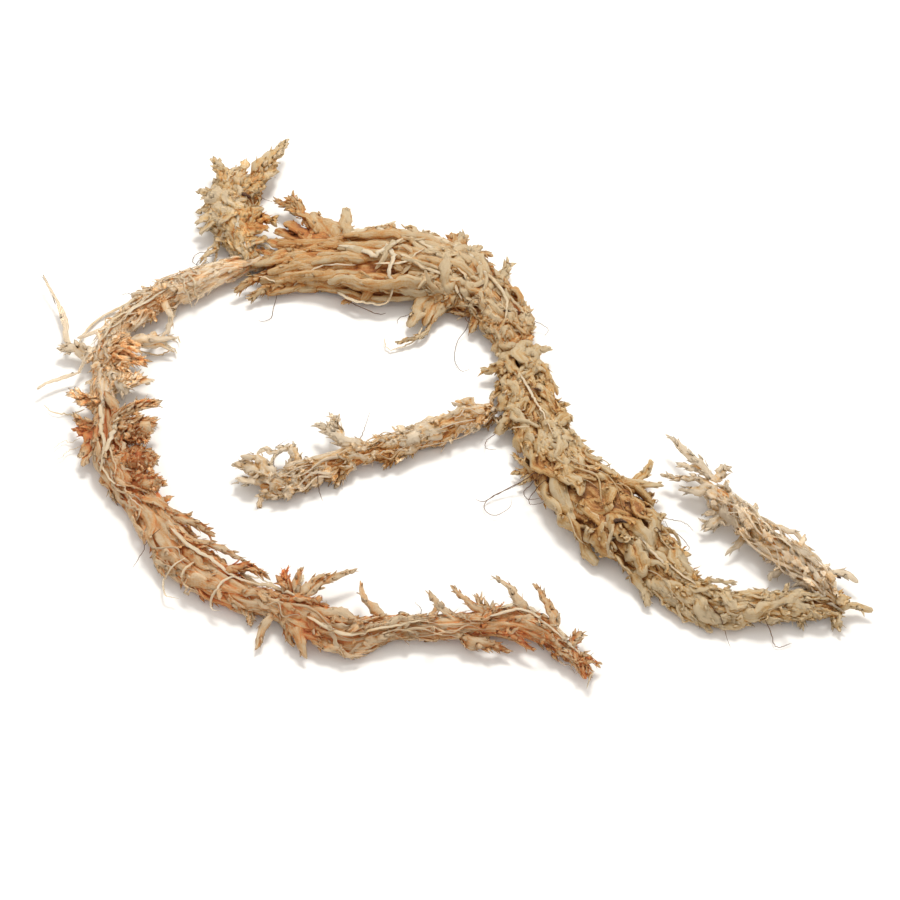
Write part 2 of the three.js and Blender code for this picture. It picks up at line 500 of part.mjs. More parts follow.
// Each shoot is cut clear of those laid before it, and flat where it rests on the surface.
let laid = null;
for (const shoot of SHOOTS) {
  let solid = shootSolid(shoot).trimByPlane([0, 0, 1], 0);
  if (laid) solid = solid.subtract(laid);
  solid = wholeBody(wholeBody(solid).simplify(MELT));
  clump.add(toMesh(shoot.name, solid, shoot.colour));
  const grown = shootSolid(shoot, SHOOT_GAP);
  laid = laid ? laid.add(grown) : grown;
}
clump.position.copy(FOOTPRINT_MIDDLE).negate();

export default clump;
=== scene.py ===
import math

import bpy
import numpy as np
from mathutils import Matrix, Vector


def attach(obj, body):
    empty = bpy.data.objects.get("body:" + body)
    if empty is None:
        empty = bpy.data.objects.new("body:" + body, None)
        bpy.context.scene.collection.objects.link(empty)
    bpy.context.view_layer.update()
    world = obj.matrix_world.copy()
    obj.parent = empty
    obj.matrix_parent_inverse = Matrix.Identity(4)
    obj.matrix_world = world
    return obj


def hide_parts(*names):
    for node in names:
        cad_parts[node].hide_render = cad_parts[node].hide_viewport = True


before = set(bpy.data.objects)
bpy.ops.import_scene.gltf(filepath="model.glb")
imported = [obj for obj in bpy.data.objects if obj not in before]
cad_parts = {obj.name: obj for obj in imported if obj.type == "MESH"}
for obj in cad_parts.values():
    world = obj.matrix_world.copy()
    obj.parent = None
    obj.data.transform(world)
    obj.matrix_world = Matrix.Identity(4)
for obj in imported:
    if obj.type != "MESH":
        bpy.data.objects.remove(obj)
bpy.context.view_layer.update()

# ---------------------------------------------------------------- surface, light and view
# A sheet of matt white paper in a white room, under one broad soft panel that hangs above and
# behind the clump and throws its shadows forward. The clump is looked down on at 50 degrees.

MM = 0.001  # lengths in this file are millimetres, and the scene is in metres
PAPER = {"size": 6000, "colour": "F4F3F1", "roughness": 0.9}
ROOM = {"colour": "FFFAF5", "strength": 0.92}
PANEL = {"size": (230, 170), "place": (70, 330, 600), "watts": 3.6, "colour": "FFFDF8"}
VIEW = {"target": (3.5, -17.3, 0), "distance": 478, "elevation": 50, "lens": 85}


def linear(code):
    """The linear colour of an sRGB hex code: each channel through the sRGB curve."""
    channels = [int(code[i : i + 2], 16) / 255 for i in (0, 2, 4)]
    curve = [c / 12.92 if c <= 0.04045 else ((c + 0.055) / 1.055) ** 2.4 for c in channels]
    return (*curve, 1.0)


def node(tree, kind, inputs=None, **settings):
    """Adds a node with its settings; an input is linked to a socket or set to a value."""
    made = tree.nodes.new(kind)
    for name, value in settings.items():
        setattr(made, name, value)
    for key, value in (inputs or {}).items():
        if isinstance(value, bpy.types.NodeSocket):
            tree.links.new(value, made.inputs[key])
        else:
            made.inputs[key].default_value = value
    return made


def material_of(name, **surface):
    """A material with one Principled shader whose inputs are given by name."""
    material = bpy.data.materials.new(name)
    material.use_nodes = True
    tree = material.node_tree
    tree.nodes.clear()
    inputs = {label.replace("_", " "): value for label, value in surface.items()}
    shader = node(tree, "ShaderNodeBsdfPrincipled", inputs)
    node(tree, "ShaderNodeOutputMaterial", {"Surface": shader.outputs[0]})
    return material


def looking_at(place, target):
    """The turn that points an object's -Z from a place to a target."""
    return (Vector(target) - Vector(place)).to_track_quat("-Z", "Y").to_euler()


half = PAPER["size"] / 2 * MM
corners = [(-half, -half, 0), (half, -half, 0), (half, half, 0), (-half, half, 0)]
# Uncoated paper: bright and without gloss, so it shows the shadows and nothing else.
paper_colour = linear(PAPER["colour"])
paper_mesh = bpy.data.meshes.new("paper")
paper_mesh.from_pydata(corners, [], [(0, 1, 2, 3)])
paper_mesh.materials.append(
    material_of("matt_white_paper", Base_Color=paper_colour, Roughness=PAPER["roughness"])
)
paper = bpy.data.objects.new("paper", paper_mesh)
bpy.context.collection.objects.link(paper)

world = bpy.data.worlds.new("white_room")
bpy.context.scene.world = world
world.use_nodes = True
background = world.node_tree.nodes["Background"]
background.inputs["Color"].default_value = linear(ROOM["colour"])
background.inputs["Strength"].default_value = ROOM["strength"]

panel_light = bpy.data.lights.new("soft_panel", "AREA")
panel_light.shape = "RECTANGLE"
panel_light.size, panel_light.size_y = (side * MM for side in PANEL["size"])
panel_light.energy = PANEL["watts"]
panel_light.color = linear(PANEL["colour"])[:3]
panel = bpy.data.objects.new("soft_panel", panel_light)
panel.location = [v * MM for v in PANEL["place"]]
panel.rotation_euler = looking_at(PANEL["place"], (0, 0, 0))
bpy.context.collection.objects.link(panel)

camera = bpy.data.objects.new("camera", bpy.data.cameras.new("camera"))
elevation = math.radians(VIEW["elevation"])
back = VIEW["distance"] * math.cos(elevation)
height = VIEW["distance"] * math.sin(elevation)
target = VIEW["target"]
camera.location = (target[0] * MM, (target[1] - back) * MM, (target[2] + height) * MM)
camera.rotation_euler = (math.pi / 2 - elevation, 0, 0)
camera.data.lens = VIEW["lens"]
bpy.context.collection.objects.link(camera)
bpy.context.scene.camera = camera
bpy.context.scene.view_settings.view_transform = "Standard"

# ---------------------------------------------------------------- crown shoot
# The plant's head: crumpled, papery leaf clusters grown round the tip, with a leafy spike behind
# and a ragged fan towards the north shoot. The leaves are thin dried cellulose, cream where
# they are clean and rust-brown where they decayed.

FOOTPRINT_MIDDLE = np.array([-3.5, 17.3, 0])  # taken off every point of the tables
CLEARANCE = 0.02  # between the lowest points and the surface
GOLDEN_ANGLE = math.radians(137.5)  # how moss branches follow each other round a stem
LEAF_THICKNESS = 0.12  # more than a real leaf's one layer of cells, so its faces stay apart
LEAF_CURL, LEAF_CUP = (-0.1, 0.35), (0.1, 0.5)  # out along a leaf's length, and in across it
BRANCH_GRID = (16, 10)  # rings along a branch and points round it
BLADE_GRID = (4, 3)  # rows along a leaf and points across it
FLAP_GRID = (8, 6)  # rows along a scrap of tissue and points across it
STRAND_GRID = (26, 6)  # points along a strand and round it
CORE_GRID = (1.2, 48)  # rings for each millimetre of a core, and points round it
PATTERN_STEP, PATTERN_RUN = 13, 97  # the grain moves on so far from tube to tube, then starts over
GROOVE_ANGLE, CREASE_ANGLE = 0.75, 0.3  # how wide a branch's groove and its creases are
UP = np.array([0.0, 0.0, 1.0])
ROOT_SHARE = 0.45  # how far out in the core a branch's root lies, at most
DRESSED_GIRTH = 1.15  # a branch's girth with its leaves, for its bare girth
FLAT_SWAY = 0.3  # how far a strap or a pad sways aside
THIN_SHARE = 0.8  # how far light travels in a leaf, for how far it does in a branch
# Waves round the core: how many, and how deep for the core's half width.
CORE_FURROWS = ((2, 0.06), (5, 0.08), (9, 0.09), (13, 0.08), (17, 0.05))


def unit(vectors):
    """Vectors one long, with the directions of the given ones."""
    return vectors / np.maximum(np.linalg.norm(vectors, axis=-1, keepdims=True), 1e-9)


def picker(draw, *shape):
    """A function that draws an array of that shape from the range between its two arguments."""
    return lambda low, high: draw.uniform(low, high, shape)


def through(rows, t):
    """Points at t, from 0 to 1, of a smooth curve through rows: in each stretch a cubic whose end
    slopes are half the step between that end's neighbours. Past its ends it runs straight on."""
    rows = np.asarray(rows, float)
    padded = np.concatenate([2 * rows[:1] - rows[1:2], rows, 2 * rows[-1:] - rows[-2:-1]])
    inside = np.clip(t, 0, 1)
    place = inside * (len(rows) - 1)
    i = np.minimum(place.astype(int), len(rows) - 2)
    u = (place - i)[..., None]
    before, start, end, after = (padded[i + k] for k in range(4))
    out, into = (end - before) / 2, (after - start) / 2
    cubic = 2 * start - 2 * end + out + into
    square = -3 * start + 3 * end - 2 * out - into
    point = ((cubic * u + square) * u + out) * u + start
    slope = np.where((t < 0.5)[..., None], rows[1] - rows[0], rows[-1] - rows[-2]) * (len(rows) - 1)
    return point + slope * (t - inside)[..., None]


class Shoot:
    """A shoot's centre line and oval outline, from rows of x, y, half width and clearance. Half its
    height is 1.5 mm and 0.35 of its half width, and it lies 0.85 of that above its clearance."""

    LEAST_HEIGHT, HEIGHT_FOR_WIDTH, LIFT = 1.5, 0.35, 0.85
    NARROWEST, SAMPLES = 0.8, 160

    def __init__(self, path):
        rows = np.array(path, float)
        lift = rows[:, 3] + self.LIFT * self.half_height(rows[:, 2])
        self.knots = np.stack([rows[:, 0], rows[:, 1], lift, rows[:, 2]], axis=1)
        self.samples = through(self.knots, np.linspace(0, 1, self.SAMPLES))
        self.length = np.linalg.norm(np.diff(self.samples[:, :3], axis=0), axis=1).sum()

    def half_height(self, half_width):
        """Half the outline's height where it has that half width."""
        return self.LEAST_HEIGHT + self.HEIGHT_FOR_WIDTH * half_width

    def frame(self, t):
        """Centre, direction, level side and half width at t."""
        here = through(self.knots, t)
        ahead = unit((through(self.knots, t + 0.01) - through(self.knots, t - 0.01))[..., :3])
        side = unit(np.stack([-ahead[..., 1], ahead[..., 0], 0 * ahead[..., 0]], axis=-1))
        return here[..., :3], ahead, side, np.maximum(here[..., 3:], self.NARROWEST)

    def on_outline(self, t, phi, share):
        """The point at angle phi of the outline, share times as far out, and the way out there."""
        centre, _, side, half_width = self.frame(t)
        high = self.half_height(half_width)
        across, over = np.cos(phi)[..., None], np.sin(phi)[..., None]
        point = centre + share[..., None] * (half_width * across * side + high * over * UP)
        return point, unit(across / half_width * side + over / high * UP)

    def nearest(self, points):
        """The number of the centre line's sample nearest to each point, seen from above."""
        gaps = np.linalg.norm(points[..., None, :2] - self.samples[:, :2], axis=-1)
        return gaps.argmin(axis=-1)

    def depth(self, points):
        """How deep points lie: 1 up to 0.35 of the way out to the outline, and 0 from 0.95 of it."""
        near = self.samples[self.nearest(points)]
        half_width = np.maximum(near[:, 3], self.NARROWEST)
        level = np.linalg.norm(points[:, :2] - near[:, :2], axis=1) / half_width
        upright = (points[:, 2] - near[:, 2]) / self.half_height(half_width)
        return np.clip((0.95 - np.hypot(level, upright)) / 0.6, 0, 1)


def closed_sheet(rows, columns):
    """Corner numbers of a closed sheet: its upper face is a grid, and its lower face is the same
    grid turned over, which shares the border's points and has inner points of its own."""
    upper = np.arange(rows * columns).reshape(rows, columns)
    lower = upper.copy()
    inner = (rows - 2) * (columns - 2)
    lower[1:-1, 1:-1] = rows * columns + np.arange(inner).reshape(rows - 2, columns - 2)
    top = np.stack([upper[:-1, :-1], upper[1:, :-1], upper[1:, 1:], upper[:-1, 1:]], axis=-1)
    under = np.stack([lower[:-1, :-1], lower[:-1, 1:], lower[1:, 1:], lower[1:, :-1]], axis=-1)
    return np.concatenate([top.reshape(-1, 4), under.reshape(-1, 4)])


def sheets(base, ahead, outer, along, across, out, grain, tint):
    """Closed sheets, one for each base. The points of a sheet's grid lie along, across and out from
    the base, and its lower face lies one leaf's thickness under the inner points."""
    count, rows, columns = along.shape
    left = unit(np.cross(outer, ahead))
    outer = unit(np.cross(ahead, left))
    points = base[:, None, None]
    for part, way in ((along, ahead), (across, left), (out, outer)):
        points = points + part[..., None] * way[:, None, None]
    inner = (slice(None), slice(1, -1), slice(1, -1))
    under = points[inner] - LEAF_THICKNESS * outer[:, None, None]
    flat = np.concatenate([points.reshape(count, -1, 3), under.reshape(count, -1, 3)], axis=1)
    uv = np.concatenate([grain.reshape(count, -1, 2), grain[inner].reshape(count, -1, 2)], axis=1)
    shade = np.concatenate([tint.reshape(count, -1), tint[inner].reshape(count, -1)], axis=1)
    quads = closed_sheet(rows, columns) + (np.arange(count) * flat.shape[1])[:, None, None]
    return {
        "points": flat.reshape(-1, 3),
        "quads": quads.reshape(-1, 4),
        "grain": uv.reshape(-1, 2)[quads.reshape(-1)],
        "tint": shade.reshape(-1),
    }


def leaves(base, ahead, outer, size, wide, tint, draw, fade):
    """Leaf blades. Over (u, v), u from base to tip and v from -1 to 1 across, a leaf is as wide as
    a sine pushed towards its base, its edges bend in by its cup, and its length bends out by its
    curl. Its tint falls by fade from base to tip."""
    rows, columns = BLADE_GRID
    count = len(base)
    u = np.linspace(0, 1, rows)[None, :, None]
    v = np.linspace(-1, 1, columns)[None, None, :]
    pick = picker(draw, count, 1, 1)
    length = size[:, None, None]
    broad = length * pick(*wide) * (0.12 + 0.88 * np.sin(np.pi * (0.2 + 0.8 * u) ** 0.8))
    broad = broad * (1 + 0.12 * draw.standard_normal((count, rows, 1)))
    bend = pick(*LEAF_CURL) * length * u**2 - pick(*LEAF_CUP) * broad * v**2
    skew = 0.15 * length * draw.standard_normal((count, 1, 1)) * u**2
    along = length * u + 0 * v
    grain = np.stack([along + 7 * pick(0, 9), broad * v], axis=-1)
    shade = tint[:, None, None] + fade * ((1 - u) ** 2 - 0.4) + 0 * v
    return sheets(base, ahead, outer, along, broad * v + skew, bend, grain, shade)


def flaps(base, ahead, outer, size, wide, tint, draw):
    """Crumpled scraps of leaf tissue. Over (u, v) a scrap has a ragged outline, and its height is a
    sum of three sharp-crested waves that run across it at random angles."""
    rows, columns = FLAP_GRID
    count = len(base)
    u = np.linspace(0, 1, rows)[None, :, None]
    v = np.linspace(-1, 1, columns)[None, None, :]
    pick = picker(draw, count, 1, 1)
    length = size[:, None, None]
    ragged = 1 + 0.16 * draw.standard_normal((count, rows, columns))
    broad = length * pick(*wide) * np.sin(np.pi * (0.12 + 0.76 * u)) ** 0.7 * ragged
    along = length * u * (1 + 0.14 * u * draw.standard_normal((count, 1, columns)))
    wave = 0
    for _ in range(3):
        turn, pace, start = pick(0, np.pi), pick(3, 9), pick(0, 6)
        wave = wave + np.abs(np.sin(pace * (u * np.cos(turn) + v * np.sin(turn)) + start)) - 0.6
    height = 0.2 * length * wave * (0.4 + 0.6 * u) + pick(-0.2, 0.5) * length * u**2
    grain = np.stack([along + 7 * pick(0, 9), broad * v], axis=-1)
    shade = tint[:, None, None] + 0.1 * np.abs(wave) * u
    return sheets(base, ahead, outer, along, broad * v, height, grain, shade)


def tubes(centre, outer, width, thick, twist, shape, tint, edge=0.0):
    """Closed tubes round centre lines (n, rings + 2, 3) whose first and last points are their ends.
    Across a ring at angle a the surface lies width cos a sideways and thick sin a outwards, times
    shape (n, rings, sides); a higher power of sin a gives it sharp edges. The ring is turned about
    the line by twist (n, rings)."""
    count, rings, sides = shape.shape
    ahead = unit(np.gradient(centre, axis=1))
    across = unit(np.cross(outer, ahead))
    over = np.cross(ahead, across)
    angle = np.arange(sides) / sides * 2 * np.pi
    x = width[..., None] * shape * np.cos(angle)
    y = thick[..., None] * shape * np.sin(angle) * np.abs(np.sin(angle)) ** edge
    turned = twist[..., None]
    x, y = x * np.cos(turned) - y * np.sin(turned), x * np.sin(turned) + y * np.cos(turned)
    ring = centre[:, 1:-1, None]
    ring = ring + x[..., None] * across[:, 1:-1, None] + y[..., None] * over[:, 1:-1, None]
    flat = np.concatenate([ring.reshape(count, -1, 3), centre[:, :1], centre[:, -1:]], axis=1)
    shade = np.concatenate([tint.reshape(count, -1), tint[:, 0, :1], tint[:, -1, :1]], axis=1)

    number = np.arange(rings * sides).reshape(rings, sides)
    right = np.roll(number, -1, axis=1)
    quads = np.stack([number[:-1], right[:-1], right[1:], number[1:]], axis=-1).reshape(-1, 4)
    start, end = rings * sides, rings * sides + 1
    first = np.stack([np.full(sides, start), right[0], number[0]], axis=-1)
    last = np.stack([np.full(sides, end), number[-1], right[-1]], axis=-1)
    step = (np.arange(count) * flat.shape[1])[:, None, None]

    # The grain runs along the tube and round it, in millimetres.
    seat = np.arange(sides) / sides
    girth = (np.pi * (width + thick).mean(axis=1))[:, None, None]
    walked = np.cumsum(np.linalg.norm(np.diff(centre, axis=1), axis=-1), axis=1)[:, :-1, None]
    u = walked + PATTERN_STEP * np.arange(count)[:, None, None] % PATTERN_RUN + 0 * seat
    v = girth * seat + 0 * u
    beyond = v + girth / sides
    near, far = slice(None, -1), slice(1, None)
    corners = ((near, v), (near, beyond), (far, beyond), (far, v))
    quad_grain = [np.stack([u[:, row], round_it[:, row]], axis=-1) for row, round_it in corners]
    cap_grain = [np.stack([u[:, [0, -1]], v[:, [0, -1]]], axis=-1)] * 3
    return {
        "points": flat.reshape(-1, 3),
        "quads": (quads[None] + step).reshape(-1, 4),
        "triangles": (np.concatenate([first, last])[None] + step).reshape(-1, 3),
        "grain": np.stack(quad_grain, axis=3).reshape(-1, 2),
        "cap_grain": np.stack(cap_grain, axis=3).reshape(-1, 2),
        "tint": shade.reshape(-1),
    }


def wrinkled(count, draw, look):
    """How far out each point of a branch's surface lies, over (s, a), s along it and a round it:
    one, with slow lobes that wind along it, one broad groove on its outer face, narrow creases
    that wander along it, steps where one row of leaves ends over the next, and small dents."""
    rings, sides = BRANCH_GRID
    s = ((np.arange(rings) + 0.5) / rings)[None, :, None]
    a = (np.arange(sides) / sides * 2 * np.pi)[None, None, :]
    pick = picker(draw, count, 1, 1)
    shape = 1 + 0 * s * a
    for k in (2, 3, 5):
        size = pick(0.3, 1) * look["lobes"]
        shape = shape + size * np.cos(k * a + pick(0, 6.3) + pick(-5, 5) * s)
    for k in (0, 1, 1):
        size = pick(0.2, 1) * look["lobes"]
        shape = shape + size * np.cos(k * a + pick(0, 6.3) + pick(12, 26) * s)
    apart = lambda at: np.abs((a - at + np.pi) % (2 * np.pi) - np.pi)
    middle = np.pi / 2 + pick(-0.4, 0.4) + pick(-0.8, 0.8) * (s - 0.5)
    deep = pick(*look["groove"]) * np.sin(np.pi * s) ** 0.5
    shape = shape - deep * np.exp(-((apart(middle) / GROOVE_ANGLE) ** 2))
    for _ in range(look["creases"]):
        at = pick(0, 6.3) + pick(-1.5, 1.5) * s + 0.4 * np.sin(pick(3, 9) * s + pick(0, 6))
        shape = shape - pick(0.1, 0.35) * np.exp(-((apart(at) / CREASE_ANGLE) ** 2))
    run = s * pick(4, 7)
    lap = a / (2 * np.pi) * draw.integers(2, 4, count)[:, None, None]
    rows = (run + lap + pick(0, 1)) % 1
    margin = 1 + 2 * np.abs(np.cos(a)) ** 6
    shape = shape + look["scales"] * margin * (rows**1.5 - 0.4)
    return shape + look["crumple"] * draw.standard_normal((count, rings, sides))


def along_branch():
    """Where a branch's first end, its rings and its last end lie along it, from 0 to 1."""
    rings = BRANCH_GRID[0]
    return np.concatenate([[0], (np.arange(rings) + 0.5) / rings, [1]])


def bowed(root, tip, bow, rise):
    """An arc from root to tip whose middle is moved sideways by bow and up by rise."""
    sideways = unit(np.stack([root[:, 1] - tip[:, 1], tip[:, 0] - root[:, 0], 0 * bow], axis=-1))
    middle = (root + tip) / 2 + 2 * bow[:, None] * sideways
    middle[:, 2] += 2 * rise
    s = along_branch()[None, :, None]
    return (1 - s) ** 2 * root[:, None] + 2 * s * (1 - s) * middle[:, None] + s**2 * tip[:, None]


def swayed(centre, draw, amount):
    """Centre lines that sway across their run by two slow sines, but not at their ends."""
    s = along_branch()[None, :]
    side = unit(np.cross(UP, unit(centre[:, -1] - centre[:, 0])))
    pick = picker(draw, len(centre), 1)
    calm = np.sin(np.pi * s)
    sway = amount * calm * np.sin(pick(4, 9) * s + pick(0, 6))
    heave = 0.6 * amount * calm * np.sin(pick(4, 9) * s + pick(0, 6))
    kinks = 0.25 * amount * calm[..., None] * draw.standard_normal(centre.shape)
    return centre + kinks + sway[..., None] * side[:, None] + heave[..., None] * UP


def leafy_branches(centre, outer, radius, draw, look, tint):
    """Branches along centre lines, and their leaves. A branch's body is a wrinkled, flattened tube,
    and the leaves sit on it one golden angle after another and lean out by their spread."""
    count = len(radius)
    pick = picker(draw, count, 1)
    s = along_branch()[None, 1:-1]
    # A branch swells over its first third, thins out to its tip and twists one way all along.
    taper = np.minimum(1, 0.45 + 1.6 * s) * (1 - s) ** pick(*look["plump"])
    width = radius[:, None] * taper
    thick = width * pick(*look["flat"])
    turn = pick(-1, 1) * look["twist"] * (s - 0.4)
    twist = turn + 0.25 * np.sin(7 * s + radius[:, None] * 40)
    # The centre line keeps above the surface by 0.85 of its half thickness.
    floor = 0.85 * np.pad(thick, ((0, 0), (1, 1)), "edge")
    centre = centre.copy()
    centre[..., 2] = np.maximum(centre[..., 2], floor)
    shape = wrinkled(count, draw, look)
    fade = tint[:, None] + pick(-0.15, 0.15) * (s - 0.5) + look["tip_tint"] * s**4
    # Painted shade: the tint is raised, darker, in the hollows of the wrinkled surface, and lowered,
    # paler, on its ridges.
    hollow = look["hollow"] * np.clip(0.95 - shape, -0.2, 0.8)
    sharp = pick(*look["edge"])[..., None]
    body = tubes(centre, outer, width, thick, twist, shape, fade[..., None] + hollow, sharp)

    per = 1 + draw.poisson(look["leaves"], count)
    owner = np.repeat(np.arange(count), per)
    order = np.concatenate([np.arange(n) / n for n in per])
    first, last = look["seat"]
    ring = ((first + (last - first) * order**0.9) * (BRANCH_GRID[0] - 1)).astype(int)
    angle = np.arange(len(owner)) * GOLDEN_ANGLE + draw.uniform(-0.3, 0.3, len(owner))
    # The leaves are drawn together at the flat branch's rims.
    turn = (angle - 0.4 * np.sin(2 * angle))[:, None]
    ahead = unit(np.gradient(centre, axis=1))[owner, ring + 1]
    across = unit(np.cross(outer[owner, ring + 1], ahead))
    over = np.cross(ahead, across)
    wide, deep = width[owner, ring, None], thick[owner, ring, None]
    seat = wide * np.cos(turn) * across + deep * np.sin(turn) * over
    out = unit(np.cos(turn) / wide * across + np.sin(turn) / deep * over)
    lean = (draw.uniform(*look["spread"], len(owner)) * (0.6 + 0.6 * order))[:, None]
    way = unit(np.cos(lean) * ahead + np.sin(lean) * out)
    way = unit(way + 0.12 * draw.standard_normal(way.shape) * look["stray"])
    face = np.cos(lean) * out - np.sin(lean) * ahead
    size = draw.uniform(*look["leaf"], len(owner)) * (1 - 0.25 * order)
    base = centre[owner, ring + 1] + 0.8 * seat
    leaf_tint = tint[owner] + look["leaf_tint"] + draw.uniform(-0.12, 0.12, len(owner))
    return body, leaves(base, way, face, size, look["blade"], leaf_tint, draw, look["fade"])


def packed_branches(shoot, fill, draw):
    """Centre lines of the branches pressed round a shoot: each starts deep in it, comes out to its
    outline and lies along it, one golden angle round from the last; their tips lift a little."""
    count = fill["count"]
    pick = picker(draw, count, 1)
    length = pick(*fill["length"]) / shoot.length
    low, high = fill["t"]
    start = low + (high - low) * (np.arange(count)[:, None] + pick(0, 1)) / count
    # A root lies half a branch back from its place, so that the shoot's start is covered too.
    start = start * (1 - 0.3 * length) - 0.5 * length
    s = along_branch()[None, :]
    # Its angle, 0 to a whole turn, is squeezed into the outline's upper part.
    phi = (np.arange(count)[:, None] * GOLDEN_ANGLE + pick(-0.4, 0.4)) % (2 * np.pi)
    phi = 1.15 * fill["under"] * (phi - np.pi) + np.pi / 2
    phi = phi + fill["drift"] * pick(-1, 1) * s + fill["wave"] * np.sin(pick(3, 7) * s + pick(0, 6))
    share = pick(*fill["share"]) * np.minimum(1, 0.45 + 2.2 * s)
    share = share + fill["lift"] * pick(0, 1) * s**2.5
    centre, outer = shoot.on_outline(start + length * s, phi, share)
    # Where the shoot is less than 5 mm from middle to side, the branches are thinner too.
    half_width = shoot.frame(start[:, 0] + 0.5 * length[:, 0])[3][:, 0]
    return centre, outer, draw.uniform(*fill["radius"], count) * np.clip(half_width / 5, 0.55, 1)


def listed_branches(shoot, table):
    """Centre lines of the branches of a table, each root sunk in the core beside it, and their half
    widths, a little more than the bare branches' because of their leaves."""
    rows = np.array(table, float)
    root, tip = rows[:, 0:3].copy(), rows[:, 3:6]
    near = shoot.samples[shoot.nearest(root)]
    gap = np.linalg.norm(root[:, :2] - near[:, :2], axis=1)
    sunk = gap <= near[:, 3]
    pull = np.minimum(1, ROOT_SHARE * near[:, 3] / np.maximum(gap, 0.01))
    deep = ROOT_SHARE * shoot.half_height(near[:, 3])
    inner = near[:, :2] + (root[:, :2] - near[:, :2]) * pull[:, None]
    level = np.clip(root[:, 2], near[:, 2] - deep, near[:, 2] + deep)
    root[sunk, :2], root[sunk, 2] = inner[sunk], level[sunk]
    centre = bowed(root, tip, rows[:, 6], rows[:, 7])
    near = shoot.samples[shoot.nearest(centre)]
    outer = unit(0.35 * unit(centre - near[..., :3]) + UP)
    return centre, outer, DRESSED_GIRTH * rows[:, 8]


def strands(centre, outer, width, tint, draw, flat, turn):
    """Thin strands along centre lines: oval tubes, flat times as thick as wide, that are widest
    near their root, thin out to a point and twist slowly, by turn at most."""
    count, points, _ = centre.shape
    pick = picker(draw, count, 1)
    s = ((np.arange(points - 2) + 0.5) / (points - 2))[None, :]
    wide = width[:, None] * np.minimum(1, 0.5 + 3 * s) * (1 - s) ** 0.3
    shape = 1 + 0.08 * draw.standard_normal((count, points - 2, STRAND_GRID[1]))
    twist = pick(-turn, turn) * s + 0.25 * pick(-turn, turn)
    return tubes(centre, outer, wide, flat * wide, twist, shape, tint[:, None, None] + 0 * shape)


def stem_fibres(shoot, count, draw):
    """Loose fibres and narrow strips that run along a shoot's outline and wander round it."""
    s = np.linspace(0, 1, STRAND_GRID[0])[None, :]
    pick = picker(draw, count, 1)
    length = pick(*FIBRE["length"]) / shoot.length
    start = pick(0, 1) * (1 - length)
    phi = pick(0.3, np.pi - 0.3) + pick(-0.7, 0.7) * s + 0.25 * np.sin(pick(5, 12) * s + pick(0, 6))
    share = pick(0.9, 1) + 0.05 * np.sin(pick(6, 14) * s + pick(0, 6)) - 0.25 * (2 * s - 1) ** 4
    centre, outer = shoot.on_outline(start + length * s, phi, share)
    width, tint = draw.uniform(*FIBRE["width"], count), draw.uniform(*FIBRE["tint"], count)
    return strands(centre, outer, width, tint, draw, FIBRE["flat"], FIBRE["turn"])


def scraps_on(shoot, scraps, tints, draw):
    """Scraps of tissue that lie on the upper side of a shoot, roughly along it."""
    count = scraps["count"]
    t, phi = draw.uniform(*scraps["t"], count), draw.uniform(-0.3, np.pi + 0.3, count)
    base, out = shoot.on_outline(t, phi, draw.uniform(0.6, 0.9, count))
    _, ahead, _, _ = shoot.frame(t)
    way = unit(ahead + 0.7 * draw.standard_normal(ahead.shape) + scraps["lift"] * out)
    face = unit(out + 0.5 * draw.standard_normal(out.shape))
    size, tint = draw.uniform(*scraps["size"], count), draw.uniform(*tints, count)
    return flaps(base, way, face, size, scraps["wide"], tint, draw)


def core_of(shoot, draw, tint, share):
    """The inner rope of stem and broken branches: an oval tube of share times the outline, furrowed
    along its length by waves that wind round it."""
    per_mm, sides = CORE_GRID
    rings = int(shoot.length * per_mm)
    t = np.linspace(0, 1, rings + 2)
    centre, _, _, half_width = shoot.frame(t)
    s, a = t[1:-1, None], (np.arange(sides) / sides * 2 * np.pi)[None, :]
    shape = 1 + 0 * s * a
    for k, size in CORE_FURROWS:
        wind = draw.uniform(-0.15, 0.15) * shoot.length
        start = draw.uniform(0, 6.3)
        shape = shape + size * np.cos(k * a + start + wind * s + 2 * np.sin(31 * s + k))
    ends = np.minimum(1, 0.5 + 5 * np.minimum(s, 1 - s))[:, 0]
    width = (half_width[1:-1, 0] * share * ends)[None]
    thick = (shoot.half_height(half_width[1:-1, 0]) * share * ends)[None]
    up = np.broadcast_to(UP, (1, rings + 2, 3))
    # Painted shade: the core's furrows are tinted darker than the ridges between them.
    return tubes(centre[None], up, width, thick, 0 * width, shape[None], tint + 1 - shape[None])


def joined(parts):
    """One part from many, with their corner numbers moved on."""
    kept = {key: [] for key in ("points", "quads", "triangles", "grain", "cap_grain", "tint")}
    start = 0
    for part in parts:
        for key in kept:
            if key in part:
                kept[key].append(part[key] + start if key in ("quads", "triangles") else part[key])
        start += len(part["points"])
    return {key: np.concatenate(value) for key, value in kept.items()}


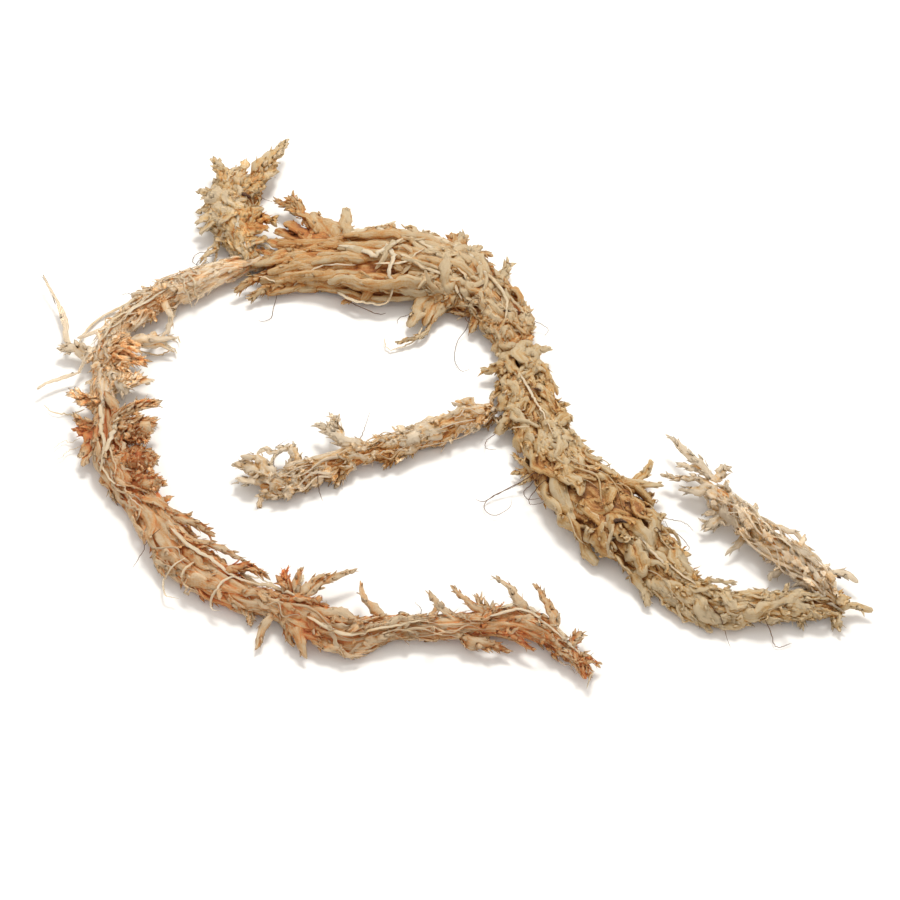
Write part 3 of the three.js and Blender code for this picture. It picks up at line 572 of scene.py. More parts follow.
def write_piece(name, parts, material, shoot=None, spots=(), replaced=None):
    """One mesh object from parts, in metres, resting on or above the surface. Its attributes hold
    the tint, raised near each spot (x, y, size, strength), and how deep each point lies."""
    part = joined(parts)
    points, tint = part["points"], part["tint"]
    points[:, 2] = np.maximum(points[:, 2], CLEARANCE)
    for x, y, size, strength in spots:
        away = np.hypot(points[:, 0] - x, points[:, 1] - y) / size
        tint += strength * np.exp(-(away**2))
    # How deep each point lies; the material darkens deep places a little, partly for the browner
    # inner leaves and partly as painted shade.
    depth = shoot.depth(points) if shoot else np.zeros(len(points))
    mesh = bpy.data.meshes.new(name)
    quads, triangles = part["quads"], part["triangles"]
    corners = np.concatenate([quads.ravel(), triangles.ravel()]).astype(np.int32)
    starts = [np.arange(len(quads)) * 4, quads.size + np.arange(len(triangles)) * 3]
    faces = len(quads) + len(triangles)
    mesh.vertices.add(len(points))
    mesh.vertices.foreach_set("co", ((points - FOOTPRINT_MIDDLE) * MM).astype(np.float32).ravel())
    mesh.loops.add(len(corners))
    mesh.loops.foreach_set("vertex_index", corners)
    mesh.polygons.add(faces)
    mesh.polygons.foreach_set("loop_start", np.concatenate(starts).astype(np.int32))
    mesh.polygons.foreach_set("use_smooth", np.ones(faces, bool))
    mesh.update(calc_edges=True)
    corner_grain = np.concatenate([part["grain"], part["cap_grain"]])
    grain = mesh.uv_layers.new(name="grain")
    grain.uv.foreach_set("vector", corner_grain.astype(np.float32).ravel())
    for label, values in (("tint", tint), ("depth", depth)):
        layer = mesh.attributes.new(label, "FLOAT", "POINT")
        layer.data.foreach_set("value", values.astype(np.float32))
    mesh.validate()
    mesh.materials.append(material)
    piece = bpy.data.objects.new(name, mesh)
    bpy.context.collection.objects.link(piece)
    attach(piece, "root")
    if replaced:
        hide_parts(replaced)


def mixed(tree, value, weighted):
    """A value with other values added to it, each times its weight."""
    for part, weight in weighted:
        inputs = {0: part, 1: weight, 2: value}
        value = node(tree, "ShaderNodeMath", inputs, operation="MULTIPLY_ADD").outputs[0]
    return value


def dried_leaf(name, colours, soft, crevice_shade=0.75, rough=0.62):
    """Dried sphagnum leaf: thin matt cellulose that lets some light through. A value from 0 to 1
    picks the colour from pale to decayed: the tint, with broad patches and small blotches, and
    streaks along the leaf. Painted shade moves it further: where the surface is hidden between its
    neighbours it is darkened and warmed in place of shade and of light that passes through the
    tissue, and deep inside the shoot it is darkened a little, partly for the browner inner leaves
    and partly as painted shade. Soft is how many millimetres light travels in it."""
    material = material_of(name)
    tree = material.node_tree
    shader = next(n for n in tree.nodes if n.type == "BSDF_PRINCIPLED")
    grain = node(tree, "ShaderNodeUVMap", uv_map="grain").outputs[0]
    place = node(tree, "ShaderNodeTexCoord").outputs["Object"]
    tint = node(tree, "ShaderNodeAttribute", attribute_name="tint").outputs["Fac"]
    depth = node(tree, "ShaderNodeAttribute", attribute_name="depth").outputs["Fac"]
    crease = {"Distance": 2.6 * MM}
    hidden = node(tree, "ShaderNodeAmbientOcclusion", crease, samples=6).outputs["AO"]
    # A streak is about 0.5 mm wide and 4 mm long, and a fold 0.4 mm wide and 1 mm long.
    run = node(tree, "ShaderNodeMapping", {"Vector": grain, "Scale": (0.25, 2, 1)}).outputs[0]
    fold = node(tree, "ShaderNodeMapping", {"Vector": grain, "Scale": (0.9, 2.4, 1)}).outputs[0]
    # Patches are about 9 mm across, blotches 3 mm and specks 0.45 mm.
    places = [(run, 1), (fold, 1)] + [(place, 1 / (size * MM)) for size in (9, 3, 0.45)]
    streak, folds, patch, blotch, speck = (
        node(tree, "ShaderNodeTexNoise", {"Vector": at, "Scale": scale, "Detail": 3}).outputs[0]
        for at, scale in places
    )
    patterns = [(patch, 0.65), (blotch, 0.45), (streak, 1.2), (speck, 0.6)]
    # Painted shade: hidden places, found by ambient occlusion, push the value towards the dark, warm
    # end, and places deep in the shoot push it a little too.
    value = mixed(tree, tint, [*patterns, (hidden, -crevice_shade), (depth, 0.15)])
    # What the patterns and an open face's painted crevice shade come to on average is taken off
    # again.
    balance = {0: value, 1: 0.82 * crevice_shade - 1.44}
    value = node(tree, "ShaderNodeMath", balance, operation="ADD").outputs[0]
    ramp = node(tree, "ShaderNodeValToRGB", {"Fac": value})
    stops = ramp.color_ramp.elements
    while len(stops) < len(colours):
        stops.new(0.5)
    for stop, (at, code) in zip(stops, colours):
        stop.position, stop.color = at, linear(code)
    height = mixed(tree, folds, [(speck, 0.35), (streak, 0.9)])
    relief = {"Height": height, "Strength": 1, "Distance": 0.28 * MM}
    tree.links.new(ramp.outputs[0], shader.inputs["Base Color"])
    tree.links.new(node(tree, "ShaderNodeBump", relief).outputs[0], shader.inputs["Normal"])
    shader.subsurface_method = "BURLEY"
    for socket, setting in {
        "Roughness": rough, "IOR": 1.4, "Subsurface Weight": 0.9,
        "Subsurface Radius": (1.0, 0.95, 0.9), "Subsurface Scale": soft * MM,
    }.items():
        shader.inputs[socket].default_value = setting
    return material


def build_shoot(
    name, path, rows, fills, look, scraps, colours, spots, seed, straps=(), pads=(), fibres=12
):
    """A shoot's two pieces: its core and branches, and the leaves and scraps of tissue on them."""
    draw = np.random.default_rng(seed)
    shoot = Shoot(path)
    bodies, blades, groups = [core_of(shoot, draw, look["core"], look["rope"])], [], []
    for fill in fills:
        own = {**look, **fill.get("look", {})}
        centre, outer, radius = packed_branches(shoot, {**FILL, **fill}, draw)
        groups.append((swayed(centre, draw, own["sway"]), outer, radius, own))
    centre, outer, radius = listed_branches(shoot, rows)
    centre = swayed(centre, draw, look["sway"])
    reach = np.array(rows, float)[:, 9]
    for low, high, slim, own in LEAFINESS:
        these = (reach > low) & (reach <= high)
        groups.append((centre[these], outer[these], slim * radius[these], {**look, **own}))
    for listed, own in ((straps, STRAP), (pads, PAD)):
        if listed:
            centre, outer, radius = listed_branches(shoot, listed)
            groups.append((swayed(centre, draw, FLAT_SWAY), outer, radius, {**look, **own}))
    for centre, outer, radius, own in groups:
        if len(radius):
            tint = draw.uniform(*own["tint"], len(radius))
            body, blade = leafy_branches(centre, outer, radius, draw, own, tint)
            bodies.append(body)
            blades.append(blade)
    blades.append(scraps_on(shoot, {**SCRAPS, **scraps}, look["tint"], draw))
    blades.append(stem_fibres(shoot, fibres, draw))

    solid = dried_leaf(f"dried_{name}_branch", colours, look["soft"])
    thin = dried_leaf(f"dried_{name}_leaf", colours, THIN_SHARE * look["soft"], crevice_shade=0.5)
    write_piece(f"{name}_branches", bodies, solid, shoot, spots, f"{name}_shoot")
    write_piece(f"{name}_leaves", blades, thin, shoot, spots)
    return shoot


# A look says how branches vary. A pair is the range of a draw, and a tint goes from 0, pale, to 1,
# decayed. The branch: "plump" is how fast it thins out, "flat" its thickness for its width, "edge"
# how sharp its rims are, "twist" to "crumple" its relief, "hollow" how much painted shade
# darkens its hollows and pales its ridges, "sway" how far it wavers, and "tip_tint" what its tip
# adds to its tint. Its leaves: how many, "leaf" their length, "blade" their half width for their
# length, "spread" how far they lean out, "seat" where along it they sit, "stray" how unruly they
# are, "leaf_tint" what they add to its tint, and "fade" how much paler their tips are. The shoot:
# "core" is its core's tint, "rope" its core's share of the outline, and "soft" how many
# millimetres light travels in its tissue.
LOOK = {
    "plump": (0.15, 0.45), "flat": (0.3, 0.75), "edge": (0, 0.8), "twist": 1.3, "groove": (0, 0.5),
    "lobes": 0.09, "creases": 2, "scales": 0.05, "crumple": 0.03, "hollow": 0.5, "sway": 0.6,
    "tint": (0, 0.3), "tip_tint": -0.1, "leaves": 8, "leaf": (1.4, 2.4), "blade": (0.22, 0.34),
    "spread": (0.05, 0.4), "seat": (0.15, 1), "stray": 1, "leaf_tint": -0.05, "fade": 0.25,
    "core": 0.5, "rope": 0.72, "soft": 1.7,
}
# A tuft of long pointed leaves, and a round cushion of short ones.
BRUSH = {
    "plump": (0.6, 0.9), "flat": (0.6, 0.9), "sway": 0.3, "tint": (0.15, 0.35), "leaves": 60,
    "leaf": (2.2, 3.6), "blade": (0.2, 0.3), "spread": (0, 0.25), "seat": (0, 0.9),
    "leaf_tint": 0, "fade": 0.45,
}
CUSHION = {
    "plump": (0.2, 0.3), "flat": (0.6, 0.8), "groove": (0, 0.3), "creases": 4, "crumple": 0.1,
    "sway": 0.2, "tint": (0.25, 0.45), "leaves": 240, "leaf": (1.2, 1.9), "blade": (0.26, 0.38),
    "spread": (0.1, 0.7), "seat": (0, 1), "stray": 2, "leaf_tint": -0.15, "fade": 0.35,
}
# By the reach of its leaf tips, a listed branch is a bare worm, a leafy branch, a tuft or a
# cushion. Each row: the reach's range, a factor for the half width, and what the look changes.
LEAFINESS = [
    (0, 0.4, 1, {"leaves": 8, "leaf": (1.2, 2), "spread": (0, 0.25)}),
    (0.4, 0.9, 1, {"leaves": 14, "leaf": (1.3, 2.2), "spread": (0, 0.35)}),
    (0.9, 1.3, 0.95, {"leaves": 24, "leaf": (1.6, 2.8), "spread": (0, 0.4), "flat": (0.5, 0.8)}),
    (1.3, 3, 0.95, BRUSH),
    (3, 9, 1, CUSHION),
]
# A fill packs branches round a shoot, over the range t of its length: "under" is how much of the
# outline they take from the top down, and "share" how far out they lie. They drift and wave round
# it, and their tips lift.
FILL = {"t": (0, 1), "under": 0.6, "wave": 0.2, "share": (0.62, 0.98)}
# Scraps of tissue are "wide" times their length broad, and fibres are threads along the stem.
SCRAPS = {"t": (0, 1), "wide": (0.22, 0.45)}
FIBRE = {"length": (8, 22), "width": (0.12, 0.4), "tint": (-0.2, 0.15), "flat": 0.45, "turn": 2.5}
# A strap is a loose flat strip, curls are narrow branches that wind across the others, and a pad
# is a broad folded branch.
STRAP = {
    "plump": (0.2, 0.4), "flat": (0.3, 0.5), "edge": (0, 0.3), "twist": 0.8, "groove": (0.1, 0.5),
    "lobes": 0.06, "creases": 2, "scales": 0, "crumple": 0.02, "hollow": 0.3,
    "tint": (-0.25, -0.05), "tip_tint": 0.1, "leaves": 0, "leaf": (1, 1.4), "spread": (0, 0.2),
}
CURLS = {
    "length": (5, 10), "radius": (0.4, 0.8), "drift": 2.2, "lift": 0.3, "under": 0.45,
    "look": {**STRAP, "sway": 1},
}
PAD = {
    "plump": (0.25, 0.5), "flat": (0.2, 0.35), "edge": (0, 0.5), "twist": 0.5, "groove": (0.4, 1),
    "lobes": 0.11, "creases": 4, "scales": 0.06, "crumple": 0.05, "hollow": 0.5,
    "leaves": 9, "leaf": (1.2, 2), "blade": (0.3, 0.42), "spread": (0, 0.2),
}

# Each row of a path: x, y, half width and clearance. Each row of a table of branches, straps or
# pads: the root's x, y and z, the tip's x, y and z, how far the middle is bowed aside and raised,
# the half width, and for a branch the reach of its leaf tips.
CROWN_PATH = [
    [-49, 57.5, 2.4, 0.5], [-51, 63, 3.4, 0.5], [-53, 69, 5.2, 0.5],
    [-54, 75, 6.5, 0.5], [-53, 81, 6, 0.3], [-50.5, 87, 4.4, 0.2],
]
CROWN_BRANCHES = [
    [-50, 82, 6, -41.5, 98.5, 5, -0.6, 0.5, 2.4, 1.2],
    [-48, 78, 5, -43.5, 91, 3.5, -0.4, 0.5, 2.2, 0.8],
    [-54, 82, 6, -58.5, 91, 5, 0.8, 0.5, 2, 1],
    [-56, 76, 7, -62, 80, 5, 0.5, 0.8, 1.5, 0.8],
    [-56, 69, 3.5, -60.5, 57, 2, 0.8, 0.2, 1.2, 0.3],
    [-50, 75, 6.5, -46, 80, 6.5, 0.4, 0.8, 1.8, 0.8],
    [-50, 66, 6, -42.5, 69.5, 5, 0.5, 0.6, 2, 1.2],
]
CROWN_PADS = [
    [-53, 83, 6, -51, 90, 4, 0.3, 0.5, 1.9],
    [-54, 82, 6, -54.5, 89, 4, -0.3, 0.5, 1.7],
    [-55, 78, 7, -61.5, 77, 5, 0.5, 0.8, 1.7],
    [-55, 75, 6.5, -62, 73, 4, 0.5, 0.8, 1.8],
    [-55, 72, 6, -62.5, 69, 4, 0.5, 0.8, 1.8],
    [-55, 70, 5, -61, 65.5, 3.5, -0.5, 0.8, 1.7],
    [-52, 73, 9, -56, 65, 7.5, 0.5, 0.6, 1.6],
    [-53, 79, 8.5, -57.5, 85, 7, 0.5, 0.6, 1.7],
    [-50, 78, 8, -47, 85, 6, -0.4, 0.5, 1.6],
    [-51, 69, 6, -45.5, 73, 5, 0.8, 0.8, 2.2],
    [-51, 67, 6, -44, 70, 5.5, 0.5, 0.8, 2.4],
    [-51, 64, 5.5, -44, 66.5, 5, 0.5, 0.8, 2.4],
    [-50, 61, 5, -44, 62.5, 5, 0.3, 0.6, 2.2],
]
crown = build_shoot(
    "crown", CROWN_PATH, CROWN_BRANCHES, pads=CROWN_PADS,
    fills=[
        {"count": 80, "length": (7, 12), "radius": (2, 3.2), "drift": 1.1, "lift": 0.05,
         "share": (0.6, 0.92)},
        {**CURLS, "count": 8, "length": (4, 8)},
    ],
    look={**LOOK, "plump": (0.3, 0.6), "flat": (0.25, 0.45), "edge": (0, 0.3), "groove": (0, 0.6),
          "lobes": 0.1, "creases": 4, "scales": 0, "crumple": 0.05, "sway": 0.8,
          "tint": (-0.1, 0.15), "leaves": 12, "leaf": (1.2, 1.8), "blade": (0.32, 0.46),
          "spread": (0, 0.25), "fade": 0.15, "soft": 1.9},
    scraps={"count": 25, "t": (0.1, 1), "size": (2, 3.6), "wide": (0.25, 0.45), "lift": 0.1},
    colours=[(0, "B2A084"), (0.3, "B19669"), (0.6, "B2844A"), (0.85, "AE6A2E"), (1, "8C4C20")],
    spots=[(-44, 67, 6, 0.45), (-47, 81, 3, 0.4), (-50, 84, 4, 0.2), (-51, 64, 4, 0.3),
           (-50, 76, 1.2, 0.6)],
    seed=11,
)

# ---------------------------------------------------------------- north shoot
# Long hanging branches grown from one stem and pressed side by side over it, like a rope of soft
# worms. They are leafy cellulose, orange-tan where they end at the left, and pale and crumpled
# where the shoot bends down at the right.

NORTH_PATH = [
    [15.5, 27, 3.8, -0.25], [14, 35, 5.6, -0.25], [10, 43, 7, -0.25], [2, 50, 8.8, -0.25],
    [-7, 53.5, 10.2, -0.25], [-17, 54.5, 10.8, -0.25], [-27, 55.5, 9, -0.25], [-37, 55, 6.4, 0],
    [-44, 53, 4.4, 0.4],
]
NORTH_BRANCHES = [
    [-36, 70, 5, -43, 77.5, 3.5, -0.5, 0.2, 1.5, 1],
    [-36, 71, 5, -39.5, 78.5, 4, -0.2, 0.2, 1.4, 1],
    [-24, 60, 6, -25.5, 73, 5.5, 0.3, 0, 1.7, 0.8],
    [-22, 60, 7, -13.5, 66, 6, 0.8, 0.8, 1.1, 0.3],
    [-22, 47, 2.4, -44, 46.5, 2.2, -1.2, 0.3, 1.6, 0.8],
    [-14, 48, 4, -36, 50, 4.4, -0.8, 0.5, 1.8, 0.3],
    [-18, 52, 6.6, -42, 52.5, 5.4, -0.6, 0.6, 1.5, 0.8],
    [-12, 55, 8.6, -34, 57, 7, 0.6, 0.6, 1.7, 0.3],
    [-18, 60, 8, -42, 60.5, 5.4, 1.2, 0.8, 2, 1.2],
    [-8, 60, 7, -28, 63, 5, 1, 0.8, 1.8, 0.3],
    [-38, 54, 4, -51.5, 46.5, 2.8, -0.8, 0.3, 1.3, 1.2],
    [-36, 51, 3.4, -48, 44.5, 2.2, -0.5, 0.2, 1.3, 1],
    [-9, 49, 4, -26, 43.5, 2, -1.5, 0.2, 1.3, 0.3],
    [-10, 52, 7, -21, 43, 3.4, -1.2, 0.8, 2.2, 0.3],
    [-1, 46, 3, -4.5, 37, 2, 0.4, 0.4, 1.9, 0.3],
    [-4.5, 38, 2, -13, 31.5, 1.6, 2.2, 0, 0.8, 0.3],
    [2, 55, 6, 3, 65.5, 4, 0.5, 0.6, 1.6, 1],
    [-6, 56, 7, -9.5, 66, 5, 0.5, 0.6, 1.6, 0.8],
    [4, 56, 6.5, 10.5, 56.5, 5, 1.6, 0.4, 1.4, 0.5],
    [-2, 54, 8.5, 6, 57, 6.5, 0.8, 0.6, 1.7, 0.3],
    [11, 45, 4, 14.5, 56, 3.4, 0.5, 0.4, 1.7, 1],
    [0, 50, 8.5, 10, 44, 6.5, 0.9, 0.8, 1.4, 0.3],
    [4, 46, 6.5, 13, 36, 5.5, 1, 0.8, 1.5, 0.3],
    [8, 42, 3.5, 5, 34, 2, -0.5, 0.4, 1.4, 0.8],
    [14, 36, 4, 19.5, 33, 4, 0.5, 0.6, 2, 0.5],
]
NORTH_PADS = [
    [-27, 60, 6, -38, 72.5, 4.5, -1.2, 0.5, 3.2],
    [-28, 61, 5.5, -33, 72, 5, 0.8, 0.8, 2.9],
    [-28, 60, 6, -36, 71, 4.5, 0.2, 0.6, 3.2],
    [-27, 59, 6, -40, 69, 4.5, 1, 0.6, 3.2],
    [-29, 58, 6, -42.5, 66.5, 4.5, 0.8, 0.6, 3.2],
    [-31, 57, 5.5, -44.5, 63, 4.5, 0.8, 0.6, 3],
    [-25, 60, 5.5, -35, 69, 4, -0.6, 0.4, 2.5],
    [-38, 56, 4, -47, 60, 4, 0.4, 0.6, 1.8],
    [-2, 47, 3.5, -9.5, 35.5, 2.3, -0.8, 0.6, 2.5],
    [-1, 47, 3.5, -6, 36, 2.3, -0.4, 0.6, 2.2],
    [-6, 55, 8, -9, 65.5, 5.5, 0.5, 0.8, 1.9],
    [-4, 55, 8, -5.5, 65, 5.5, 0.5, 0.8, 1.7],
    [1, 54, 8, 1, 64.5, 5, 0.5, 0.8, 1.9],
    [2, 54, 8, 4.5, 64, 5, 0.5, 0.8, 1.7],
    [4, 53, 8, 8, 60, 5, 0.5, 0.8, 1.7],
    [-13, 56, 9, -14, 66.5, 6.5, 0.5, 0.6, 1.7],
]
north = build_shoot(
    "north", NORTH_PATH, NORTH_BRANCHES, pads=NORTH_PADS,
    fills=[
        {"count": 90, "length": (13, 22), "radius": (1.3, 2.1), "drift": 0.3, "lift": 0.12,
         "t": (0.4, 1), "wave": 0.05, "share": (0.66, 1), "look": {"flat": (0.6, 0.9)}},
        {"count": 85, "length": (6, 12), "radius": (1.1, 2.1), "drift": 1.3, "lift": 0.15,
         "t": (0, 0.5), "look": {"twist": 1.6, "groove": (0.2, 0.8), "lobes": 0.12,
                                 "crumple": 0.05, "sway": 0.8, "leaves": 8}},
        {**CURLS, "count": 40, "radius": (0.6, 1.1), "t": (0.05, 0.6)},
    ],
    look={**LOOK, "twist": 0.7, "groove": (0, 0.4), "lobes": 0.08, "creases": 3, "crumple": 0.045,
          "sway": 0.3, "tint": (0, 0.35), "leaves": 5, "leaf": (1.2, 2.2), "spread": (0, 0.3),
          "soft": 1.2},
    scraps={"count": 45, "t": (0, 0.55), "size": (1.8, 3.4), "wide": (0.25, 0.4), "lift": 0.1},
    colours=[(0, "AE9B7C"), (0.3, "AA8A5E"), (0.55, "A6763E"), (0.8, "A05E28"), (1, "78421A")],
    spots=[(5, 50, 14, -0.15), (-36, 58, 14, 0.15), (-44, 63, 6, 0.25), (-33, 66, 7, 0.3),
           (-22, 47, 9, 0.2)],
    seed=23,
)

# ---------------------------------------------------------------- west shoot
# A thin stem that carries orange spiky tufts of pointed leaves and one long spike, with loose
# pale straps held at their roots. All of it is dried tissue of one plant, and its upper end lies
# under the crown.

WEST_PATH = [
    [-48, 56, 2.8, 1], [-58, 51, 4.2, 1], [-66, 46, 4.6, 1], [-72, 41, 3.6, 1],
    [-77, 34.5, 3.4, 1], [-79, 27, 4, 0.5], [-79, 19, 3.4, 0.4], [-78, 9, 3.2, 0.4],
]
WEST_BRANCHES = [
    [-69, 44, 4.5, -67.5, 31.5, 3, 2.6, 0.6, 1, 0.3],
    [-68.5, 33, 3.2, -72.5, 29.5, 3, 0.4, 0.2, 1.1, 0.3],
    [-53, 56, 4, -67, 49.5, 4.5, 1, 0.8, 1.7, 0.3],
    [-55, 51, 3, -67, 42.5, 2.4, 1, 0.4, 1.5, 0.3],
    [-65, 47, 4.5, -75.5, 44, 4, 0.8, 0.8, 1.9, 1.2],
    [-75, 27, 3.5, -63.5, 31, 3.4, 0.8, 0.6, 1.6, 0.8],
    [-69, 41, 3.6, -77, 33, 3, -1.6, 0.6, 2.1, 0.3],
    [-80, 26, 3, -91, 28, 3, -0.5, 0.2, 1.9, 1],
    [-80, 25, 4.5, -69.5, 22, 4.6, 0.8, 0.8, 2.3, 1.6],
    [-80, 22, 4, -72.5, 18, 4, 0.8, 0.8, 2.1, 1.4],
    [-80, 27, 4.5, -71.5, 26.5, 4.8, 0.8, 0.6, 2.1, 1.4],
    [-79, 20, 4, -73.5, 13, 4, 1, 0.8, 2, 1],
    [-77, 14, 4, -70.5, 18.5, 4.2, 0.8, 0.6, 1.9, 1.4],
    [-79, 11, 3.6, -86.5, 13.5, 4.2, 0.6, 0.4, 1.7, 1.4],
]
WEST_STRAPS = [
    [-73, 29, 3, -64, 28, 2, 0.8, 0.4, 0.8],
    [-70, 44, 4.2, -87, 31, 3.6, 2.6, 0.8, 0.9],
    [-70, 40, 3.6, -83.5, 26, 3, 1.5, 0.6, 0.8],
    [-79, 30, 3.5, -85.5, 20.5, 2.8, -1.6, 0.2, 0.9],
    [-84.8, 21, 2.9, -94.5, 15.5, 3, -0.8, 0, 0.6],
    [-88.3, 26.5, 2.6, -92.5, 43, 2.2, -0.4, 0, 0.9],
    [-90.8, 36, 2.2, -97.5, 52, 3.6, -0.5, 0, 0.4],
]
WEST_PADS = [
    [-49, 57.5, 3.6, -62, 50.5, 3.8, -0.4, 0.4, 2.7],
    [-57, 53, 3.8, -71, 44.5, 3.8, -0.6, 0.4, 2.7],
    [-52, 54, 3, -64, 47.5, 3, 0.4, 0.2, 2.2],
    [-76, 16, 3, -67.5, 18, 3.5, 0.3, 0.3, 2],
]
west = build_shoot(
    "west", WEST_PATH, WEST_BRANCHES, straps=WEST_STRAPS, pads=WEST_PADS, fibres=6,
    fills=[
        {"count": 60, "length": (8, 12), "radius": (0.9, 1.5), "drift": 0.6, "lift": 0.2,
         "share": (0.5, 0.85), "wave": 0.1},
        {**CURLS, "count": 12, "t": (0.2, 1)},
    ],
    look={**LOOK, "tint": (-0.15, 0.15), "core": 0.1, "soft": 2.4},
    scraps={"count": 50, "t": (0.2, 1), "size": (1.6, 3), "lift": 0.3},
    colours=[(0, "C1B19A"), (0.3, "C2A57E"), (0.6, "C09260"), (0.85, "C68652"), (1, "B07040")],
    spots=[(-77, 24, 4, 0.1), (-69, 38, 5, 0.35), (-82, 10, 3, 0.25), (-66, 12, 4, 0.1),
           (-58, 52, 12, 0.05)],
    seed=101,
)

# ---------------------------------------------------------------- south shoot
# Twisted branches with ragged tapering tips, grown from a grey-tan stem and wound round it, and
# round cushions of small leaves near its upper end. The tissue is dried leaf, rust-brown where it
# decayed.

SOUTH_PATH = [
    [-78, 10, 3.8, 0.5], [-76, 0, 4.6, 0.5], [-73.5, -8, 5, 0], [-69, -15, 4.8, -0.25],
    [-64, -22, 5, -0.25], [-59, -30, 6, -0.25], [-52, -37, 5.6, -0.25], [-44, -42.5, 4.6, -0.25],
    [-36, -45, 3.8, 0.3], [-29, -49, 5.6, -0.25], [-21, -52.5, 4.6, -0.25], [-13, -51, 3, 0.5],
    [-4, -50.5, 3, 0.5], [5, -50, 3.6, 0.5], [13, -49.5, 4.2, 0.5], [20, -52.5, 2.8, 0.5],
    [25, -57.5, 1.8, 0.5], [28, -63, 1.2, 0.3],
]
SOUTH_BRANCHES = [
    [-78, 2, 3.5, -85, 7, 4, 0.5, 0.6, 1.6, 1.2],
    [-76, 5, 4.5, -65.5, 9.5, 5, 0.6, 0.8, 1.8, 1.4],
    [-76, 2, 5, -65.5, 4, 4.4, 0.4, 0.8, 2.2, 1.4],
    [-74, 2, 3, -67, 0, 4.6, 0.2, 1, 3.2, 4],
    [-72, -5, 3, -65, -8, 4.6, 0.2, 1, 3.6, 4],
    [-70, -12, 3, -63.5, -14, 4, 0.2, 0.8, 3, 4],
    [-74, 9, 5, -77.5, -8, 5.6, 0.8, 0.6, 1, 0.3],
    [-66, -18, 4, -50.5, -27.5, 3.6, 0, 0.8, 2, 1.2],
    [-57, -27, 5, -42.5, -34.5, 3.6, -0.2, 0.6, 1.7, 0.8],
    [-62, -24, 5.5, -55, -35, 5, 0.8, 0.6, 1.8, 0.3],
    [-62, -25, 3, -60.5, -38, 2.4, -0.8, 0.2, 2.1, 0.3],
    [-52, -35, 5, -46, -44, 3.2, -0.8, 0.4, 2, 0.8],
    [-50, -37, 5, -38.5, -38.5, 4.4, 0.8, 0.6, 1.8, 1],
    [-45, -41, 3.5, -41.5, -48.5, 1.8, 0.4, 0.2, 1.3, 1],
    [-37, -44, 3, -40.5, -55.5, 1.4, 0.4, 0.4, 1.2, 0.3],
    [-33, -44, 4.5, -35, -37.5, 5, 0.3, 0.4, 1.4, 1],
    [-32, -44, 5, -31.5, -37, 5.6, 0, 0.4, 1.2, 0.3],
    [-31, -44, 5, -25, -38, 5, 1, 0.6, 1.4, 0.3],
    [-31, -43, 5, -19.5, -36.5, 4.4, 0.8, 0.4, 1.3, 0.5],
    [-34, -44, 5, -27.5, -46.5, 5.6, 0.5, 0.6, 1.8, 0.3],
    [-31, -46, 4.4, -29.5, -58, 1.9, -1.6, 0.6, 1.8, 0.3],
    [-34, -45, 3.5, -32.5, -55, 1.8, -1.2, 0.4, 1.4, 0.3],
    [-29, -47, 5.5, -16, -53.5, 4, 0.8, 0.6, 2, 0.3],
    [-29, -51, 3.5, -17, -57, 1.9, -3, 0.2, 1.3, 0.3],
    [-13, -50, 3.5, -19, -40, 5, 1.2, 0, 1.3, 0.3],
    [-16, -52, 4.2, -8, -49.5, 4, 0.6, 0.4, 1.5, 0.3],
    [0, -50, 4, -7, -49, 4.2, 0, 0.2, 1.1, 0.3],
    [2, -50, 4, -4.5, -42.5, 5, 0.6, 0.2, 1.5, 0.5],
    [9, -50, 5, 0, -41.5, 5.4, 0.4, 0.6, 1.3, 0.3],
    [9, -50, 4, 6, -44, 4.4, 0.4, 0.4, 1.5, 1],
    [18, -49, 5, 8.5, -39.5, 6, -0.6, 0.4, 1.4, 0.5],
    [16, -50, 4.4, 14, -45, 4.8, 0.2, 0.2, 1.4, 0.8],
    [22, -53, 3.6, 18, -40.5, 5, -0.6, 0.4, 1.5, 0.8],
    [0, -52, 3.2, 12.5, -56.5, 2, -0.6, 0.4, 1.7, 1],
    [9, -51, 3.6, 17.5, -57, 3, 0.4, 0.4, 1.7, 0.8],
    [6, -50, 5.2, 21.5, -52.5, 4.4, 1.8, 0.6, 1.4, 0.3],
    [23, -56, 3, 27.5, -52, 3.4, -0.5, 0, 1.4, 0.5],
    [25, -59, 2.6, 31, -59.5, 2.6, 0.5, 0.2, 1.2, 0.5],
]
SOUTH_PADS = [
    [-79, 5, 4, -82.5, -5, 3, 0.6, 0.6, 2.2],
    [-79, 2, 3.5, -84.5, 3, 4, 0.3, 0.4, 1.8],
    [-78, 0, 3.5, -81.5, -7, 2.5, -0.4, 0.4, 1.6],
]
south = build_shoot(
    "south", SOUTH_PATH, SOUTH_BRANCHES, pads=SOUTH_PADS,
    fills=[
        {"count": 130, "length": (7, 14), "radius": (1.1, 2), "drift": 0.9, "lift": 0.2,
         "share": (0.5, 0.88)},
        {**CURLS, "count": 22},
    ],
    look={**LOOK, "plump": (0.4, 0.8), "twist": 1.8, "groove": (0.1, 0.7), "lobes": 0.13,
          "creases": 3, "sway": 0.5, "tint": (-0.05, 0.42), "leaves": 6, "core": 0.25, "soft": 1.9},
    scraps={"count": 60, "t": (0, 0.9), "size": (1.6, 3), "lift": 0.3},
    colours=[(0, "B09C80"), (0.3, "AD8D66"), (0.55, "AC7A48"), (0.8, "B46A3A"), (1, "984E2A")],
    spots=[(-70, 1, 4, 0.1), (-68, -7, 5, 0.1), (-82, 0, 3, 0.4), (-52, -26, 4, 0.1),
           (-76, 6, 5, -0.15), (-46, -40, 5, 0.25), (-28, -52, 6, 0.2), (-34, -38, 3, 0.35),
           (20, -45, 5, 0.3), (15, -55, 5, 0.35), (-8, -51, 9, -0.2)],
    seed=79,
)

# ---------------------------------------------------------------- inner shoot
# A thinner shoot of short curled branches round its own stem, inside the loop. It is clean
# straw-coloured tissue, and its one end lies pressed into the east shoot.

